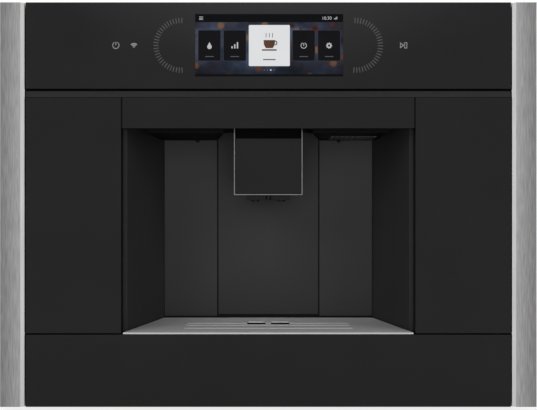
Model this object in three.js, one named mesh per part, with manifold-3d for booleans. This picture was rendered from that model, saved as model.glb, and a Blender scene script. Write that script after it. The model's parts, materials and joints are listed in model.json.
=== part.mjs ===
// Built-in coffee machine with a niche, a left-hinged door and a drip-tray drawer.
// Millimetres. +X is the user's right, the front faces -Y, +Z is up.
// The origin is the centre of the bounding box, on the floor that the feet stand on.
import * as THREE from 'three';
import { mergeVertices } from 'three/addons/utils/BufferGeometryUtils.js';
import Module from 'manifold-3d';

const wasm = await Module();
wasm.setup();

// ---------------------------------------------------------------- driving dimensions

// Overall envelope
const WIDTH = 596; // across both steel side trims
const HEIGHT = 455; // floor to the top edge of the control panel
const DEPTH = 377; // front face to rear panel
const FRONT_PROUD = 21; // how far the front stands before the cabinet face
const FRONT_LIFT = 5.6; // lower edge of the front above the cabinet floor
const FLANGE = 19; // overlap of the front on the cabinet, each side
const HOUSING_HEIGHT = 449; // body that slides under a 450 mm cabinet opening

// Shared clearances and wall thicknesses
const SEAT = 0.3; // gap between a piece and what it rests on
const RUN = 0.3; // radial gap of a pin or shaft in its bore
const SHEET = 1.5; // housing steel
const WALL = 2; // moulded liner walls
const SEAM = 1.5; // seam between two front panels
const CUT = 1; // a cutter reaches this far past the face it opens
const SINK = 1; // pieces of one body reach this far into each other

// Sides of round pieces
const PIN_SIDES = 12;
const SHAFT_SIDES = 16;
const HUB_SIDES = 24;
const BOWL_SIDES = 32;

// Front rows, from the top down
const CONTROL_HEIGHT = 96;
const CONTROL_GAP = 2.2; // shadow gap under the control panel
const GRIP_HEIGHT = 7.3; // bevelled strip along the door's top edge
const HEADER_HEIGHT = 34.1; // door header above the niche
const DRAWER_FRONT_HEIGHT = 80.3;
const PANEL_THICKNESS = 2.5; // black front panels

// Side trims
const TRIM_WIDTH = 27.1;
const TRIM_GAP = 1.3; // between a trim and the black front
const TRIM_SHEET = 1.5;
const TRIM_BEVEL = 4.4; // bright bevel along the inner edge
const TRIM_BEVEL_DEPTH = 2.4;

// Front frame behind the fascia
const FRAME_SHEET = 2;
const FRAME_STEP = 0.5; // the frame is thinner by this inside its two flanges
const FLANGE_CLEAR = 0.6; // from the housing side to the flange
const FRAME_STILE = 21.5;
const FRAME_RAIL = 5;
const FRAME_TOP_RAIL = 11;

// Base pan and its feet
const FOOT_HEIGHT = 2.5;
const FOOT_RADIUS = 12;
const FOOT_INSET_X = 39; // foot centre from the housing side
const FOOT_INSET_Y = 30; // foot centre from the housing front and rear
const BASE_THICKNESS = 2.5;
const RUNNER_WIDTH = 4;
const RUNNER_INSET = 10; // runner from the tray's side
const GUIDE_HEIGHT = 20; // side guides of the tray above the base

// Works bays on each side of the niche
const SIDE_BAY = 116.1; // housing side to the niche's mouth
const SIDE_GAP = 17; // housing side to the tray, the tank and the bean container

// Niche
const NICHE_DEPTH = 150; // front plane to the niche's back wall
const NICHE_TAPER = 30.5; // each wall leans in by this on its way to the back
const NICHE_CEILING = 322; // underside of the ceiling
const NICHE_LIP = 5; // front return of the side walls
const BACK_CENTRE_HALF = 63.4; // centre panel of the back wall
const BACK_PANEL_GAP = 2.2; // side back panels above the drip plate's level
const BACK_SEAM = 1.3; // open joint beside the centre panel
const BACK_CENTRE_RAISE = 2; // shadow gap under the centre panel, more than beside it
const POD_DROP = 10; // ceiling pods below the ceiling
const POD_FLANK = 26.9; // flat underside, inside the niche's mouth on its outer side
const POD_SLOPE = 10; // outer flank, leaning out as it rises
const POD_INNER_FRONT = 50.2;
const POD_INNER_BACK = 64.4;
const LAMP_X = 89;
const LAMP_DEPTH = 145;
const LAMP_RADIUS = 2;
const LAMP_DROP = 3.2; // lamp tip below the pod
const LAMP_SINK = 4; // lamp body inside the pod

// Door
const DOOR_DEPTH = 16;
const DOOR_REVEAL = 0.7; // niche cut-out in the door beyond the niche's mouth
const DOOR_RIM = 2.5;
const DOOR_WEB = 2;
const DOOR_RIB = 2;
const DOOR_RIB_COUNT = 4;
const FRAME_INSET = 0.6; // door frame inside the edge of its panels
const GRIP_BEVEL = 2; // the grip strip leans back by this

// Door hinge: a cranked arm on the housing wall, a pin in the door
const HINGE_INSET = 20; // pin from the door's left edge
const HINGE_SETBACK = 6.6; // pin behind the front plane
const HINGE_PIN_RADIUS = 1.8;
const HINGE_EYE_WALL = 1.5;
const HINGE_ARM_THICKNESS = 4;
const HINGE_ARM_WIDTH = 6;
const HINGE_CRANK_X = 10; // the arm steps this far towards the door's middle
const HINGE_CRANK_Y = 25; // and this far back, before it turns to the wall
const HINGE_SLOT_PLAY = 0.5; // above and below the arm
const HINGE_BOSS = 8; // boss above and below the slot
const HINGE_PIN_SHORT = 1; // pin ends this far inside the boss
const HINGE_POCKET = 14; // pocket beyond the pin, towards the door's middle
const HINGE_FOOT_LENGTH = 40;
const HINGE_FOOT_HEIGHT = 18;
const HINGE_FOOT_THICKNESS = 3;
const HINGE_LOW = 10; // lower arm above the door's bottom edge
const HINGE_HIGH = 13; // upper arm below the door's top edge

// Magnetic door catch
const CATCH_WIDTH = 12;
const CATCH_HEIGHT = 40;
const CATCH_DEPTH = 30;
const CATCH_ABOVE_DECK = 180;

// Deck that carries the works, with the bulkhead behind the niche
const DECK_THICKNESS = 2;
const DECK_DROP = 0.5; // deck top below the door's bottom edge
const BULKHEAD_SIDE = 17.6; // beyond the niche's back wall, each side
const CHUTE_HALF = 28; // coffee grounds fall through here
const HOSE_HOLE = 7; // radius of the hose holes in the deck

// Drip-tray drawer
const TRAY_DEPTH = 204;
const TRAY_WALL = 2;
const TRAY_LIFT = 3; // tray above the base plate
const TRAY_TOP_GAP = 0.9; // tray below the deck
const BAY_WALL_OUT = 5.1; // wall of the grounds bay beyond the niche's mouth
const TRAY_RIB_IN = 7.4; // ribs that carry the drip plate, inside the niche's back
const TRAY_RIB_END = 138; // depth at which the ribs end
const PLATE_THICKNESS = 2.2;
const PLATE_ABOVE_DOOR_EDGE = 1.7; // plate top above the door's bottom edge
const PLATE_SIDE_GAP = 1.6;
const PLATE_BACK_DEPTH = 139;
const SLOT_INNER_X = 3.3;
const SLOT_LENGTH = 21.7;
const SLOT_DEPTH_FROM = 70;
const SLOT_DEPTH_TO = 98;
const EMBOSS_HEIGHT = 0.4;
const EMBOSS_INSET = 35; // bands end this far inside the plate's rear corners
const EMBOSS_BANDS = [[33, 50], [60, 69], [79, 98]]; // depth of each raised band
const GROUNDS_WALL = 2;
const GROUNDS_CLEAR = 2; // container inside its bay
const FLOAT_X = 60;
const FLOAT_DEPTH = 112;
const FLOAT_RADIUS = 12;
const FLOAT_HEIGHT = 20;
const FLOAT_POST_RADIUS = 2.5;
const FLOAT_POST_HEIGHT = 62;

// Height-adjustable dispenser
const DISPENSER_DEPTH = 22; // its face behind the front plane
const DISPENSER_HALF = 36; // shell half width
const DISPENSER_LENGTH = 104; // shell, front to back
const DISPENSER_BOTTOM = 243;
const DISPENSER_TOP = 400;
const DISPENSER_WALL = 2;
const FACE_THICKNESS = 2.5;
const FACE_HEIGHT = 62.4;
const U_TRIM_WIDTH = 1.5;
const U_TRIM_DEPTH = 6;
const U_TRIM_HALF = 37.4; // inner faces of the steel U
const RAIL_OUT = 3; // rails on the shell's sides
const RAIL_WIDTH = 8;
const RAIL_DEPTH = 78; // rail centre behind the front plane
const BRIDGE_CLEAR = 2; // ceiling bridge and collar clear of the steel U
const GUIDE_WALL = 4;
const GUIDE_TALL = 34;
const NOZZLE_HALF = 25.8;
const NOZZLE_LENGTH = 50;
const NOZZLE_TALL = 6.8;
const NOZZLE_DEPTH = 85; // block centre behind the front plane
const SPOUT_X = 15.7;
const SPOUT_RADIUS = 4.5;
const SPOUT_BORE = 2;
const SPOUT_DROP = 2;
const NOZZLE_SPLIT_HALF = 2.4;
const NOZZLE_GROOVE = 1;

// Control panel
const GLASS_THICKNESS = 4;
const CONTROL_BOX_DEPTH = 14.4;
const CONTROL_BOX_INSET = 7.6; // box inside the edge of the glass
const CONTROL_BOX_MARGIN = 3.2; // box above and below
const DISPLAY_HALF_WIDTH = 85;
const DISPLAY_HEIGHT = 75;
const DISPLAY_THICKNESS = 5;
const BOARD_THICKNESS = 1.6;
const BOARD_INSET = 29.6; // board inside the edge of the glass
const BOARD_HEIGHT = 60;
const BOARD_POST = 2.5;
const BOARD_POST_RADIUS = 3;
const BOARD_POST_INSET = 12; // post from the board's end
const CHIP = 2.2;
const CHIP_HALF = 6.6;
const CHIP_X = 168;

// Water tank and pump
const WORKS_DEPTH = 245; // pump and heater centres behind the front plane
const TANK_WIDTH = 90;
const TANK_FRONT_DEPTH = 34;
const TANK_LENGTH = 260;
const TANK_HEIGHT = 120;
const TANK_WALL = 2.5;
const TANK_GRIP = 12; // finger recess in the lid
const TANK_GRIP_BACK = 36; // recess centre behind the lid's front edge
const LID_THICKNESS = 3;
const SPIGOT_RADIUS = 5;
const SPIGOT_WALL = 1.5;
const SPIGOT_LENGTH = 12;
const PUMP_HALF = 24;
const PUMP_LENGTH = 70;
const PUMP_HEIGHT = 44;
const PORT_RADIUS = 6;
const PORT_LENGTH = 10;

// Heater, boards and mains inlet
const HEATER_HALF = 50;
const HEATER_LENGTH = 60;
const HEATER_HEIGHT = 58;
const HEATER_FINS = 5;
const HEATER_FIN_GAP = 4;
const HEATER_FIN_CUT = 8;
const HOSE_RADIUS = 4;
const HOSE_BORE = 2;
const HOSE_BEND = 14;
const POWER_LENGTH = 160;
const POWER_HEIGHT = 150;
const POWER_DEPTH = 225;
const POWER_BOTTOM = 240;
const POWER_POST = 6;
const POWER_POST_INSET = 9; // post from the board's edges
const POWER_POST_SIDES = 10;
const TRANSFORMER_SIZE = 45;
const TRANSFORMER_DEPTH = 24;
const INLET_HALF = 24;
const INLET_HEIGHT = 28;
const INLET_LENGTH = 28;
const INLET_FROM_SIDE = 79; // housing side to the inlet's middle
const INLET_Z = 45;
const INLET_WALL = 3;
const INLET_FLANGE = 6;
const INLET_PIN_RADIUS = 2;
const INLET_PIN_PITCH = 12;
const VENT_COUNT = 12;
const VENT_PITCH = 12;
const VENT_WIDTH = 4;
const VENT_HEIGHT = 70;
const VENT_BOTTOM = 330;

// Brewing group, in the left bay
const BREW_FROM_SIDE = 77; // housing side to the cylinder's axis
const BREW_HALF = 30;
const BREW_FRONT_DEPTH = 38;
const BREW_REAR_DEPTH = 206;
const BREW_HEIGHT = 63;
const BREW_FLOOR = 7;
const BREW_DEPTH = 103; // cylinder axis behind the front plane
const CYLINDER_RADIUS = 21;
const PISTON_HEAD = 10;
const PISTON_STROKE = 30;
const PISTON_TOP_GAP = 10; // piston head below the block's top, at rest
const ROD_HALF = 5;
const ROD_ABOVE = 50; // rod above the block's top, at rest
const GEAR_MODULE = 2;
const GEAR_TEETH = 10;
const GEAR_WIDTH = 8;
const GEAR_BACKLASH = 0.9;
const PRESSURE_ANGLE = 20; // degrees
const RACK_ADDENDUM = 0.8; // these five are shares of the module or the tooth
const GEAR_ADDENDUM = 0.7;
const GEAR_DEDENDUM = 1.2;
const TOOTH_ROOT = 1.25;
const TOOTH_TIP = 0.55;
const GEAR_ABOVE = 22; // gear axis above the block
const GEAR_SHAFT_RADIUS = 3;
const CHEEK_THICKNESS = 4;
const CHEEK_HALF = 9;
const CHEEK_TRIM = 1; // off the cheek's side that faces the rod
const MOTOR_RADIUS = 14;
const MOTOR_LENGTH = 50;
const MOTOR_DEPTH = 145; // front end of the motor
const LEVER_HUB = 8;
const LEVER_LENGTH = 30;
const LEVER_WIDTH = 8;
const LEVER_THICKNESS = 5;
const LEVER_SHAFT_RADIUS = 3;
const LEVER_SHAFT_LENGTH = 10;
const LEVER_ABOVE_DECK = 32;

// Grinder and bean container, above the brewing group
const GRINDER_FROM_SIDE = 67; // housing side to the cone's axis
const GRINDER_HALF = 34;
const GRINDER_HALF_LENGTH = 45;
const GRINDER_BOTTOM = 206;
const GRINDER_HEIGHT = 46;
const GRINDER_FLOOR = 12;
const GRINDER_CAVITY = 22;
const GRINDER_ARM = 16;
const BURR_BASE = 18;
const BURR_TOP = 11;
const BURR_HEIGHT = 20;
const BURR_LIFT = 2;
const BURR_SHAFT_RADIUS = 3;
const BURR_SHAFT_LENGTH = 8;
const BURR_RIDGES = 8;
const BURR_GROOVE_RADIUS = 2;
const BEAN_WIDTH = 90;
const BEAN_FRONT_DEPTH = 36;
const BEAN_LENGTH = 153;
const BEAN_HEIGHT = 84;
const BEAN_WALL = 2;
const BEAN_OUTLET = 16;
const BEAN_KNOB_RADIUS = 12;
const BEAN_KNOB_HEIGHT = 1;

// ---------------------------------------------------------------- places worked out once

const FRONT_Y = -DEPTH / 2;
const REAR_Y = DEPTH / 2;
const CABINET_Y = FRONT_Y + FRONT_PROUD; // the front frame bears on the cabinet here
const HOUSING_HALF = WIDTH / 2 - FLANGE;
const FRONT_HALF = WIDTH / 2 - TRIM_WIDTH - TRIM_GAP; // half width of the black front
const CONTROL_BOTTOM = HEIGHT - CONTROL_HEIGHT;
const DOOR_TOP = CONTROL_BOTTOM - CONTROL_GAP;
const HEADER_TOP = DOOR_TOP - GRIP_HEIGHT;
const HEADER_BOTTOM = HEADER_TOP - SEAT - HEADER_HEIGHT;
const DRAWER_TOP = FRONT_LIFT + DRAWER_FRONT_HEIGHT;
const DOOR_BOTTOM = DRAWER_TOP + SEAM;
const DECK_TOP = DOOR_BOTTOM - DECK_DROP;
const DECK_BOTTOM = DECK_TOP - DECK_THICKNESS;
const BASE_TOP = FOOT_HEIGHT + BASE_THICKNESS;
const INNER_HALF = HOUSING_HALF - SHEET; // inner faces of the side panels
const BEHIND_FRAME_Y = CABINET_Y - FRAME_STEP + SEAT;
const NICHE_FRONT_HALF = HOUSING_HALF - SIDE_BAY;
const NICHE_BACK_HALF = NICHE_FRONT_HALF - NICHE_TAPER;
const DOOR_OPENING_HALF = NICHE_FRONT_HALF + DOOR_REVEAL;
const BAY_OUTER = HOUSING_HALF - SIDE_GAP; // outer side of the tray, the tank and the beans
const BOARD_HALF = FRONT_HALF - BOARD_INSET;
const TANK_INNER_X = BAY_OUTER - TANK_WIDTH;
const BEAN_INNER_X = -BAY_OUTER + BEAN_WIDTH;
const BREW_X = -HOUSING_HALF + BREW_FROM_SIDE;
const GRINDER_X = -HOUSING_HALF + GRINDER_FROM_SIDE;
const INLET_X = -HOUSING_HALF + INLET_FROM_SIDE;
const PLATE_TOP = DOOR_BOTTOM + PLATE_ABOVE_DOOR_EDGE;
const PLATE_BOTTOM = PLATE_TOP - PLATE_THICKNESS;
const TRAY_BOTTOM = BASE_TOP + TRAY_LIFT;
const TRAY_TOP = DECK_BOTTOM - TRAY_TOP_GAP;
const LINER_DEPTH = DOOR_DEPTH + 2; // the niche liner starts behind the closed door
const HINGE_X = -FRONT_HALF + HINGE_INSET;
const HINGE_Y = FRONT_Y + HINGE_SETBACK;

const atDepth = (depth) => FRONT_Y + depth;
const nicheHalf = (depth) =>
  NICHE_FRONT_HALF + ((NICHE_BACK_HALF - NICHE_FRONT_HALF) * depth) / NICHE_DEPTH;

// ---------------------------------------------------------------- solids from three.js shapes

function solid(geometry) {
  const bare = geometry.index ? geometry.toNonIndexed() : geometry;
  bare.deleteAttribute('normal');
  bare.deleteAttribute('uv');
  const merged = mergeVertices(bare, 1e-4);
  return new wasm.Manifold(new wasm.Mesh({
    numProp: 3,
    vertProperties: new Float32Array(merged.attributes.position.array),
    triVerts: new Uint32Array(merged.index.array),
  }));
}

function geometryOf(manifold) {
  const { vertProperties, triVerts } = manifold.getMesh();
  const geometry = new THREE.BufferGeometry();
  geometry.setAttribute('position', new THREE.BufferAttribute(new Float32Array(vertProperties), 3));
  geometry.setIndex(new THREE.BufferAttribute(new Uint32Array(triVerts), 1));
  const flat = geometry.toNonIndexed();
  flat.computeVertexNormals();
  return flat;
}

// A box between two limits on each axis.
function block([x0, x1], [y0, y1], [z0, z1]) {
  const geometry = new THREE.BoxGeometry(x1 - x0, y1 - y0, z1 - z0);
  geometry.translate((x0 + x1) / 2, (y0 + y1) / 2, (z0 + z1) / 2);
  return solid(geometry);
}

function outline(points) {
  return new THREE.Shape(points.map(([u, v]) => new THREE.Vector2(u, v)));
}

function extruded(shape, depth) {
  return new THREE.ExtrudeGeometry(shape, { depth, bevelEnabled: false, curveSegments: 6 });
}

// A plan outline (x, y) raised from z0 to z1.
function prismZ(shape, z0, z1) {
  return solid(extruded(shape, z1 - z0).translate(0, 0, z0));
}

// A front outline (x, z) drawn from y0 back to y1.
function prismY(shape, y0, y1) {
  return solid(extruded(shape, y1 - y0).rotateX(Math.PI / 2).translate(0, y1, 0));
}

// A side outline (y, z) drawn from x0 to x1.
function prismX(shape, x0, x1) {
  const turn = new THREE.Matrix4().makeBasis(
    new THREE.Vector3(0, 1, 0),
    new THREE.Vector3(0, 0, 1),
    new THREE.Vector3(1, 0, 0),
  );
  return solid(extruded(shape, x1 - x0).applyMatrix4(turn).translate(x0, 0, 0));
}

const AXIS_TURN = {
  x: (g) => g.rotateZ(-Math.PI / 2),
  y: (g) => g,
  z: (g) => g.rotateX(Math.PI / 2),
};

// A cylinder, or a cone with two radii, along one axis between two limits.
function round(axis, radius, [a, b], [x, y, z], sides = HUB_SIDES, endRadius = radius) {
  const geometry = new THREE.CylinderGeometry(endRadius, radius, b - a, sides);
  AXIS_TURN[axis](geometry);
  const middle = (a + b) / 2;
  const at = { x: [middle, y, z], y: [x, middle, z], z: [x, y, middle] }[axis];
  return solid(geometry.translate(...at));
}

// A hose: a round section with a bore, drawn along straight runs joined by bends.
function hose(corners, radius, bore, bend) {
  const points = corners.map((corner) => new THREE.Vector3(...corner));
  const path = new THREE.CurvePath();
  let from = points[0];
  for (let i = 1; i < points.length - 1; i += 1) {
    const corner = points[i];
    const before = corner.clone().lerp(points[i - 1], bend / corner.distanceTo(points[i - 1]));
    const after = corner.clone().lerp(points[i + 1], bend / corner.distanceTo(points[i + 1]));
    path.add(new THREE.LineCurve3(from, before));
    path.add(new THREE.QuadraticBezierCurve3(before, corner, after));
    from = after;
  }
  path.add(new THREE.LineCurve3(from, points[points.length - 1]));
  const section = new THREE.Shape().absarc(0, 0, radius, 0, 2 * Math.PI, false);
  section.holes.push(new THREE.Path().absarc(0, 0, bore, 0, 2 * Math.PI, true));
  const steps = Math.min(60, Math.ceil(path.getLength() / (3 * radius)));
  return solid(new THREE.ExtrudeGeometry(section, {
    steps,
    curveSegments: 8,
    extrudePath: path,
  }));
}

const joined = (pieces) => pieces.reduce((whole, piece) => whole.add(piece));

// ---------------------------------------------------------------- housing

function basePan() {
  const half = HOUSING_HALF;
  const guideFace = BAY_OUTER + SEAT;
  const trayRear = atDepth(PANEL_THICKNESS + SEAT + TRAY_DEPTH);
  const pieces = [block([-half, half], [BEHIND_FRAME_Y, REAR_Y], [FOOT_HEIGHT, BASE_TOP])];
  for (const side of [-1, 1]) {
    const runner = side * (BAY_OUTER - RUNNER_INSET);
    pieces.push(block(
      [runner - RUNNER_WIDTH / 2, runner + RUNNER_WIDTH / 2],
      [BEHIND_FRAME_Y, trayRear],
      [BASE_TOP, TRAY_BOTTOM - SEAT],
    ));
    const guide = [side * guideFace, side * (guideFace + WALL)].sort((a, b) => a - b);
    pieces.push(block(guide, [BEHIND_FRAME_Y, trayRear], [BASE_TOP, BASE_TOP + GUIDE_HEIGHT]));
    for (const y of [CABINET_Y + FOOT_INSET_Y, REAR_Y - FOOT_INSET_Y]) {
      pieces.push(round('z', FOOT_RADIUS, [0, FOOT_HEIGHT], [side * (half - FOOT_INSET_X), y, 0]));
    }
  }
  return joined(pieces);
}

function sidePanel(side) {
  const x = [side * INNER_HALF, side * HOUSING_HALF].sort((a, b) => a - b);
  return block(x, [BEHIND_FRAME_Y, REAR_Y], [BASE_TOP + SEAT, HOUSING_HEIGHT - SHEET - SEAT]);
}

function rearPanel() {
  const half = INNER_HALF - SEAT;
  const y = [REAR_Y - SHEET, REAR_Y];
  let panel = block([-half, half], y, [BASE_TOP + SEAT, HOUSING_HEIGHT - SHEET - SEAT]);
  const through = [y[0] - SHEET, y[1] + SHEET];
  for (let i = 0; i < VENT_COUNT; i += 1) {
    const x = (i - (VENT_COUNT - 1) / 2) * VENT_PITCH;
    panel = panel.subtract(block(
      [x - VENT_WIDTH / 2, x + VENT_WIDTH / 2],
      through,
      [VENT_BOTTOM, VENT_BOTTOM + VENT_HEIGHT],
    ));
  }
  return panel.subtract(block(
    [INLET_X - INLET_HALF - SEAT, INLET_X + INLET_HALF + SEAT],
    through,
    [INLET_Z - INLET_HEIGHT / 2 - SEAT, INLET_Z + INLET_HEIGHT / 2 + SEAT],
  ));
}

function topPanel() {
  return block(
    [-HOUSING_HALF, HOUSING_HALF],
    [BEHIND_FRAME_Y, REAR_Y],
    [HOUSING_HEIGHT - SHEET, HOUSING_HEIGHT],
  );
}

// A sheet frame: two stiles, a top rail, and a rail between control panel and door.
// Its two side flanges bear on the cabinet; the rest steps forward to clear the housing.
function frontFrame() {
  const half = WIDTH / 2 - SEAT;
  const inner = half - FRAME_STILE;
  const y = [CABINET_Y - FRAME_SHEET, CABINET_Y];
  const cut = [y[0] - CUT, y[1] + CUT];
  const flangeStart = HOUSING_HALF + FLANGE_CLEAR;
  const railBottom = CONTROL_BOTTOM - CONTROL_GAP + SEAT;
  const railTop = railBottom + FRAME_RAIL;
  const frame = block([-half, half], y, [FRONT_LIFT + SEAT, HEIGHT - SEAT]);
  const lower = block([-inner, inner], cut, [FRONT_LIFT - CUT, railBottom]);
  const upper = block([-inner, inner], cut, [railTop, HEIGHT - FRAME_TOP_RAIL]);
  const step = block(
    [-flangeStart, flangeStart],
    [CABINET_Y - FRAME_STEP, CABINET_Y + CUT],
    [FRONT_LIFT - CUT, HEIGHT + CUT],
  );
  return frame.subtract(lower).subtract(upper).subtract(step);
}

// A folded steel channel, bevelled along the edge beside the black front.
function sideTrim(side) {
  const outer = WIDTH / 2;
  const inner = outer - TRIM_WIDTH;
  const back = CABINET_Y - FRAME_SHEET - SEAT;
  const t = TRIM_SHEET;
  const section = outline([
    [outer, FRONT_Y],
    [outer, back],
    [outer - t, back],
    [outer - t, FRONT_Y + t],
    [inner + TRIM_BEVEL, FRONT_Y + t],
    [inner + t, FRONT_Y + TRIM_BEVEL_DEPTH + t / 2],
    [inner + t, back],
    [inner, back],
    [inner, FRONT_Y + TRIM_BEVEL_DEPTH],
    [inner + TRIM_BEVEL, FRONT_Y],
  ].map(([x, y]) => [side * x, y]));
  return prismZ(section, FRONT_LIFT, HEIGHT);
}

// The deck carries the works; its bulkhead carries the niche's back panels.
function chassisDeck() {
  const half = INNER_HALF - SEAT;
  const rear = REAR_Y - SHEET - SEAT;
  const wallStart = atDepth(NICHE_DEPTH + WALL + SEAT);
  const deck = block([-half, half], [BEHIND_FRAME_Y, rear], [DECK_BOTTOM, DECK_TOP]);
  const mouth = nicheHalf(0);
  const cutEdge = NICHE_DEPTH + SEAT;
  const mouthEdge = nicheHalf(cutEdge);
  const well = prismZ(outline([
    [-mouth, FRONT_Y],
    [mouth, FRONT_Y],
    [mouthEdge, atDepth(cutEdge)],
    [-mouthEdge, atDepth(cutEdge)],
  ]), DECK_BOTTOM - CUT, DECK_TOP + CUT);
  const chute = block(
    [BREW_X - CHUTE_HALF, BREW_X + CHUTE_HALF],
    [atDepth(BREW_DEPTH - CHUTE_HALF), atDepth(BREW_DEPTH + CHUTE_HALF)],
    [DECK_BOTTOM - CUT, DECK_TOP + CUT],
  );
  const bulkheadHalf = NICHE_BACK_HALF + BULKHEAD_SIDE;
  const bulkhead = block(
    [-bulkheadHalf, bulkheadHalf],
    [wallStart, wallStart + DECK_THICKNESS],
    [DECK_BOTTOM, NICHE_CEILING - SEAT],
  );
  const span = [DECK_BOTTOM - CUT, DECK_TOP + CUT];
  const holes = [
    round('z', SPIGOT_RADIUS + RUN + SPIGOT_WALL, span, [pumpX(), worksY(), 0]),
    round('z', HOSE_HOLE, span, [pressureX(), worksY(), 0]),
  ];
  const whole = deck.subtract(well).subtract(chute).add(bulkhead);
  return holes.reduce((body, hole) => body.subtract(hole), whole);
}

// ---------------------------------------------------------------- niche

// A tapered side wall with a short lip that faces the user.
function nicheWall(side) {
  const near = nicheHalf(LINER_DEPTH);
  const far = nicheHalf(NICHE_DEPTH + WALL);
  const plan = outline([
    [near, atDepth(LINER_DEPTH)],
    [near + NICHE_LIP, atDepth(LINER_DEPTH)],
    [near + NICHE_LIP, atDepth(LINER_DEPTH + WALL)],
    [near + WALL, atDepth(LINER_DEPTH + WALL)],
    [far + WALL, atDepth(NICHE_DEPTH + WALL)],
    [far, atDepth(NICHE_DEPTH + WALL)],
  ].map(([x, y]) => [side * x, y]));
  return prismZ(plan, DECK_TOP + SEAT, NICHE_CEILING - SEAT);
}

function nicheCeiling() {
  const near = nicheHalf(LINER_DEPTH) + NICHE_LIP;
  const far = nicheHalf(NICHE_DEPTH + WALL) + NICHE_LIP;
  const plate = prismZ(outline([
    [-near, atDepth(LINER_DEPTH)],
    [near, atDepth(LINER_DEPTH)],
    [far, atDepth(NICHE_DEPTH + 2 * WALL)],
    [-far, atDepth(NICHE_DEPTH + 2 * WALL)],
  ]), NICHE_CEILING, NICHE_CEILING + WALL);
  const side = U_TRIM_HALF + U_TRIM_WIDTH + 2 * RUN;
  const hole = block(
    [-side, side],
    [atDepth(LINER_DEPTH - CUT), atDepth(shellRear() + 2 * RUN)],
    [NICHE_CEILING - CUT, NICHE_CEILING + WALL + CUT],
  );
  const bridge = block(
    [-side, side],
    [atDepth(LINER_DEPTH), atDepth(DISPENSER_DEPTH - BRIDGE_CLEAR)],
    [NICHE_CEILING, NICHE_CEILING + WALL],
  );
  return plate.subtract(hole).add(bridge);
}

function nicheBackSide(side) {
  const inner = BACK_CENTRE_HALF + BACK_SEAM;
  const outer = nicheHalf(NICHE_DEPTH + WALL) - SEAT;
  const x = [side * inner, side * outer].sort((a, b) => a - b);
  const y = [atDepth(NICHE_DEPTH), atDepth(NICHE_DEPTH + WALL)];
  return block(x, y, [DECK_TOP + BACK_PANEL_GAP, NICHE_CEILING - SEAT]);
}

function nicheBackCentre() {
  const y = [atDepth(NICHE_DEPTH), atDepth(NICHE_DEPTH + WALL)];
  const bottom = DECK_TOP + BACK_PANEL_GAP + BACK_CENTRE_RAISE;
  return block([-BACK_CENTRE_HALF, BACK_CENTRE_HALF], y, [bottom, NICHE_CEILING - SEAT]);
}

const podBottom = () => NICHE_CEILING - SEAT - POD_DROP;

// A pod under the ceiling: slanted inner side, outer flank leaning out as it rises.
function ceilingPod(side) {
  const front = atDepth(DISPENSER_DEPTH);
  const rear = atDepth(NICHE_DEPTH - SEAT);
  const top = NICHE_CEILING - SEAT;
  const bottom = podBottom();
  const outer = NICHE_FRONT_HALF - POD_FLANK;
  const profile = prismY(outline([
    [side * POD_INNER_FRONT, bottom],
    [side * outer, bottom],
    [side * (outer + POD_SLOPE), top],
    [side * POD_INNER_FRONT, top],
  ]), front, rear);
  const plan = prismZ(outline([
    [POD_INNER_FRONT, front],
    [nicheHalf(DISPENSER_DEPTH) - SEAT, front],
    [nicheHalf(NICHE_DEPTH) - SEAT, rear],
    [POD_INNER_BACK, rear],
  ].map(([x, y]) => [side * x, y])), bottom - CUT, top + CUT);
  const bore = round(
    'z', LAMP_RADIUS + RUN, [bottom - CUT, bottom + LAMP_SINK + RUN],
    [side * LAMP_X, atDepth(LAMP_DEPTH), 0], PIN_SIDES,
  );
  return profile.intersect(plan).subtract(bore);
}

function nicheLamp(side) {
  const tip = podBottom() - LAMP_DROP;
  const at = [side * LAMP_X, atDepth(LAMP_DEPTH), 0];
  const dome = round('z', LAMP_RADIUS / 2, [tip, tip + LAMP_RADIUS / 2], at, PIN_SIDES, LAMP_RADIUS);
  return dome.add(round('z', LAMP_RADIUS, [tip + LAMP_RADIUS / 2, podBottom() + LAMP_SINK], at, PIN_SIDES));
}

// ---------------------------------------------------------------- control panel

function controlGlass() {
  return block(
    [-FRONT_HALF, FRONT_HALF],
    [FRONT_Y, FRONT_Y + GLASS_THICKNESS],
    [CONTROL_BOTTOM, HEIGHT],
  );
}

const controlMiddle = () => (CONTROL_BOTTOM + HEIGHT) / 2;
const boxRear = () => FRONT_Y + GLASS_THICKNESS + CONTROL_BOX_DEPTH;
const boardFront = () => boxRear() - WALL - BOARD_POST - SEAT - BOARD_THICKNESS;

function controlHousing() {
  const half = FRONT_HALF - CONTROL_BOX_INSET;
  const z = [CONTROL_BOTTOM + CONTROL_BOX_MARGIN, HEIGHT - CONTROL_BOX_MARGIN];
  const front = FRONT_Y + GLASS_THICKNESS + SEAT;
  const rear = boxRear();
  const shell = block([-half, half], [front, rear], z).subtract(block(
    [-half + WALL, half - WALL],
    [front - CUT, rear - WALL],
    [z[0] + WALL, z[1] - WALL],
  ));
  const posts = [-1, 1].map((side) => round(
    'y', BOARD_POST_RADIUS, [rear - WALL - BOARD_POST, rear],
    [side * (BOARD_HALF - BOARD_POST_INSET), 0, controlMiddle()], PIN_SIDES,
  ));
  return joined([shell, ...posts]);
}

function displayModule() {
  const front = FRONT_Y + GLASS_THICKNESS + SEAT;
  const middle = controlMiddle();
  return block(
    [-DISPLAY_HALF_WIDTH, DISPLAY_HALF_WIDTH],
    [front, boardFront() - SEAT],
    [middle - DISPLAY_HEIGHT / 2, middle + DISPLAY_HEIGHT / 2],
  );
}

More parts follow.
